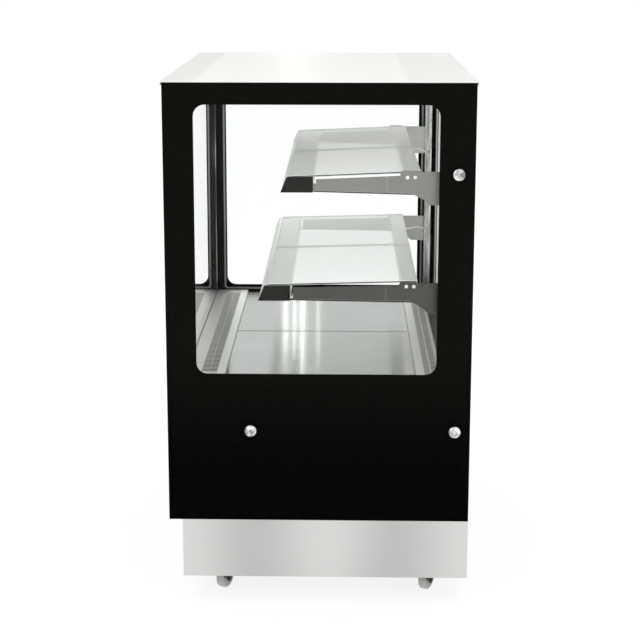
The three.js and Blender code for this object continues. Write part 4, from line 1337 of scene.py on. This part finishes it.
def add_compressor():
    """A welded two-part dome on sprung feet."""
    low, high = box("compressor")
    centre = ((low.x + high.x) / 2, (low.y + high.y) / 2, 0)
    z0, z1 = low.z, high.z
    radius = 84
    profile = [(0, z0 + 14), (60, z0 + 15), (78, z0 + 26), (radius, z0 + 46), (radius, z0 + 96),
               (radius + 2, z0 + 98), (radius + 2, z0 + 104), (radius, z0 + 106), (radius - 2, z0 + 138),
               (72, z0 + 164), (50, z0 + 181), (22, z1 - 1), (0, z1)]
    dome = Shells().turned(profile, "z", centre, 48)
    dome.block(span(centre[0], 100), span(centre[1], 70), (z0 + 9, z0 + 12))
    piece("compressor_dome", dome, UNIT_ENAMEL, slot="unit_paint", stands_for=["compressor"], bevel=0.8)
    feet = Shells()
    pad = [(0, z0), (13, z0), (13, z0 + 5), (9, z0 + 9), (0, z0 + 9)]
    nut = [(0, z0 + 12), (8, z0 + 12), (8, z0 + 18), (0, z0 + 18)]
    for x in (-1, 1):
        for y in (-1, 1):
            foot = (centre[0] + x * 84, centre[1] + y * 54, 0)
            feet.turned(pad, "z", foot, 20)
            feet.turned(nut, "z", foot, 6)
    piece("compressor_feet", feet, GASKET, slot="gasket", bevel=0.5)


def add_machinery():
    add_evaporator()
    add_condenser()
    add_compressor()
    add_fan("evaporator_fan", "z", "evaporator_rotor", 64, 20)
    add_fan("condenser_fan", "x", "condenser_rotor", 115, 30)


# ---- Studio ----
def add_studio():
    scene = bpy.context.scene
    scene.view_settings.view_transform = "Standard"
    scene.cycles.transparent_max_bounces = 32

    glow = {"Emission_Color": (1, 1, 1, 1), "Emission_Strength": 0.78}
    floor_look = Look("floor", (0.26, 0.26, 0.26), 0.8, Specular_IOR_Level=0.0, **glow)
    floor_look.vary_color(floor_look.noise(1.5), 0.995, 1.0)
    mesh = bpy.data.meshes.new("floor")
    size = 14
    corners = [(u, v, 0) for u, v in rectangle(-size, size, -size, size)]
    mesh.from_pydata(corners, [], [(0, 1, 2, 3)])
    mesh.materials.append(floor_look.material)
    floor = bpy.data.objects.new("floor", mesh)
    scene.collection.objects.link(floor)
    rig.stage(floor)

    add_world()
    add_softbox("key", (3.4, -2.4, 3.0), (0, 0, 0.6), (1.8, 1.8), 36)
    add_softbox("fill", (3.2, 2.8, 2.0), (0, 0, 0.6), (1.6, 1.6), 20)
    add_softbox("top", (-0.2, 0, 3.6), (0, 0, 1.0), (2.4, 2.4), 22)
    strips = ((-0.21, 0.02, 0.1), (-0.168, 0.01, 0.08), (-0.131, 0.024, 0.12), (-0.059, 0.01, 0.045))
    for y, width, power in strips:
        add_softbox("strip", (-3.0, y, 1.38), (0, y, 0.55), (width, 0.36), power)


def add_world():
    """White behind the case, and a softer grey towards the camera's side."""
    world = bpy.data.worlds.new("studio")
    world.use_nodes = True
    tree = world.node_tree
    background = tree.nodes["Background"]
    place_at = tree.nodes.new("ShaderNodeTexCoord")
    split = tree.nodes.new("ShaderNodeSeparateXYZ")
    ramp = tree.nodes.new("ShaderNodeMapRange")
    ramp.interpolation_type = "SMOOTHSTEP"
    for socket, value in (("From Min", -0.1), ("From Max", 0.8), ("To Min", 1.04), ("To Max", 0.72)):
        ramp.inputs[socket].default_value = value
    tree.links.new(place_at.outputs["Generated"], split.inputs["Vector"])
    tree.links.new(split.outputs["X"], ramp.inputs["Value"])
    tree.links.new(ramp.outputs["Result"], background.inputs["Strength"])
    background.inputs["Color"].default_value = (1, 1, 1, 1)
    bpy.context.scene.world = world


def add_softbox(name, position, target, size, power):
    data = bpy.data.lights.new(name, "AREA")
    data.shape = "RECTANGLE"
    data.size, data.size_y = size
    data.energy = power
    light = bpy.data.objects.new(name, data)
    light.location = position
    light.rotation_mode = "QUATERNION"
    light.rotation_quaternion = (Vector(target) - Vector(position)).to_track_quat("-Z", "Y")
    bpy.context.scene.collection.objects.link(light)


add_camera()
add_studio()
add_glass_units()
add_standoff_caps()
add_posts()
add_top()
add_base()
for corner_name in CORNERS:
    add_caster(corner_name)
add_deck()
for tier_name in TIERS:
    add_shelf(tier_name)
add_doors()
add_rear_panel()
add_machinery()

with open("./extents.json", "w") as file:
    json.dump({"cad": [list(p) for p in cad_bounds], "visual": [list(p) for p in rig.bounds()]}, file)
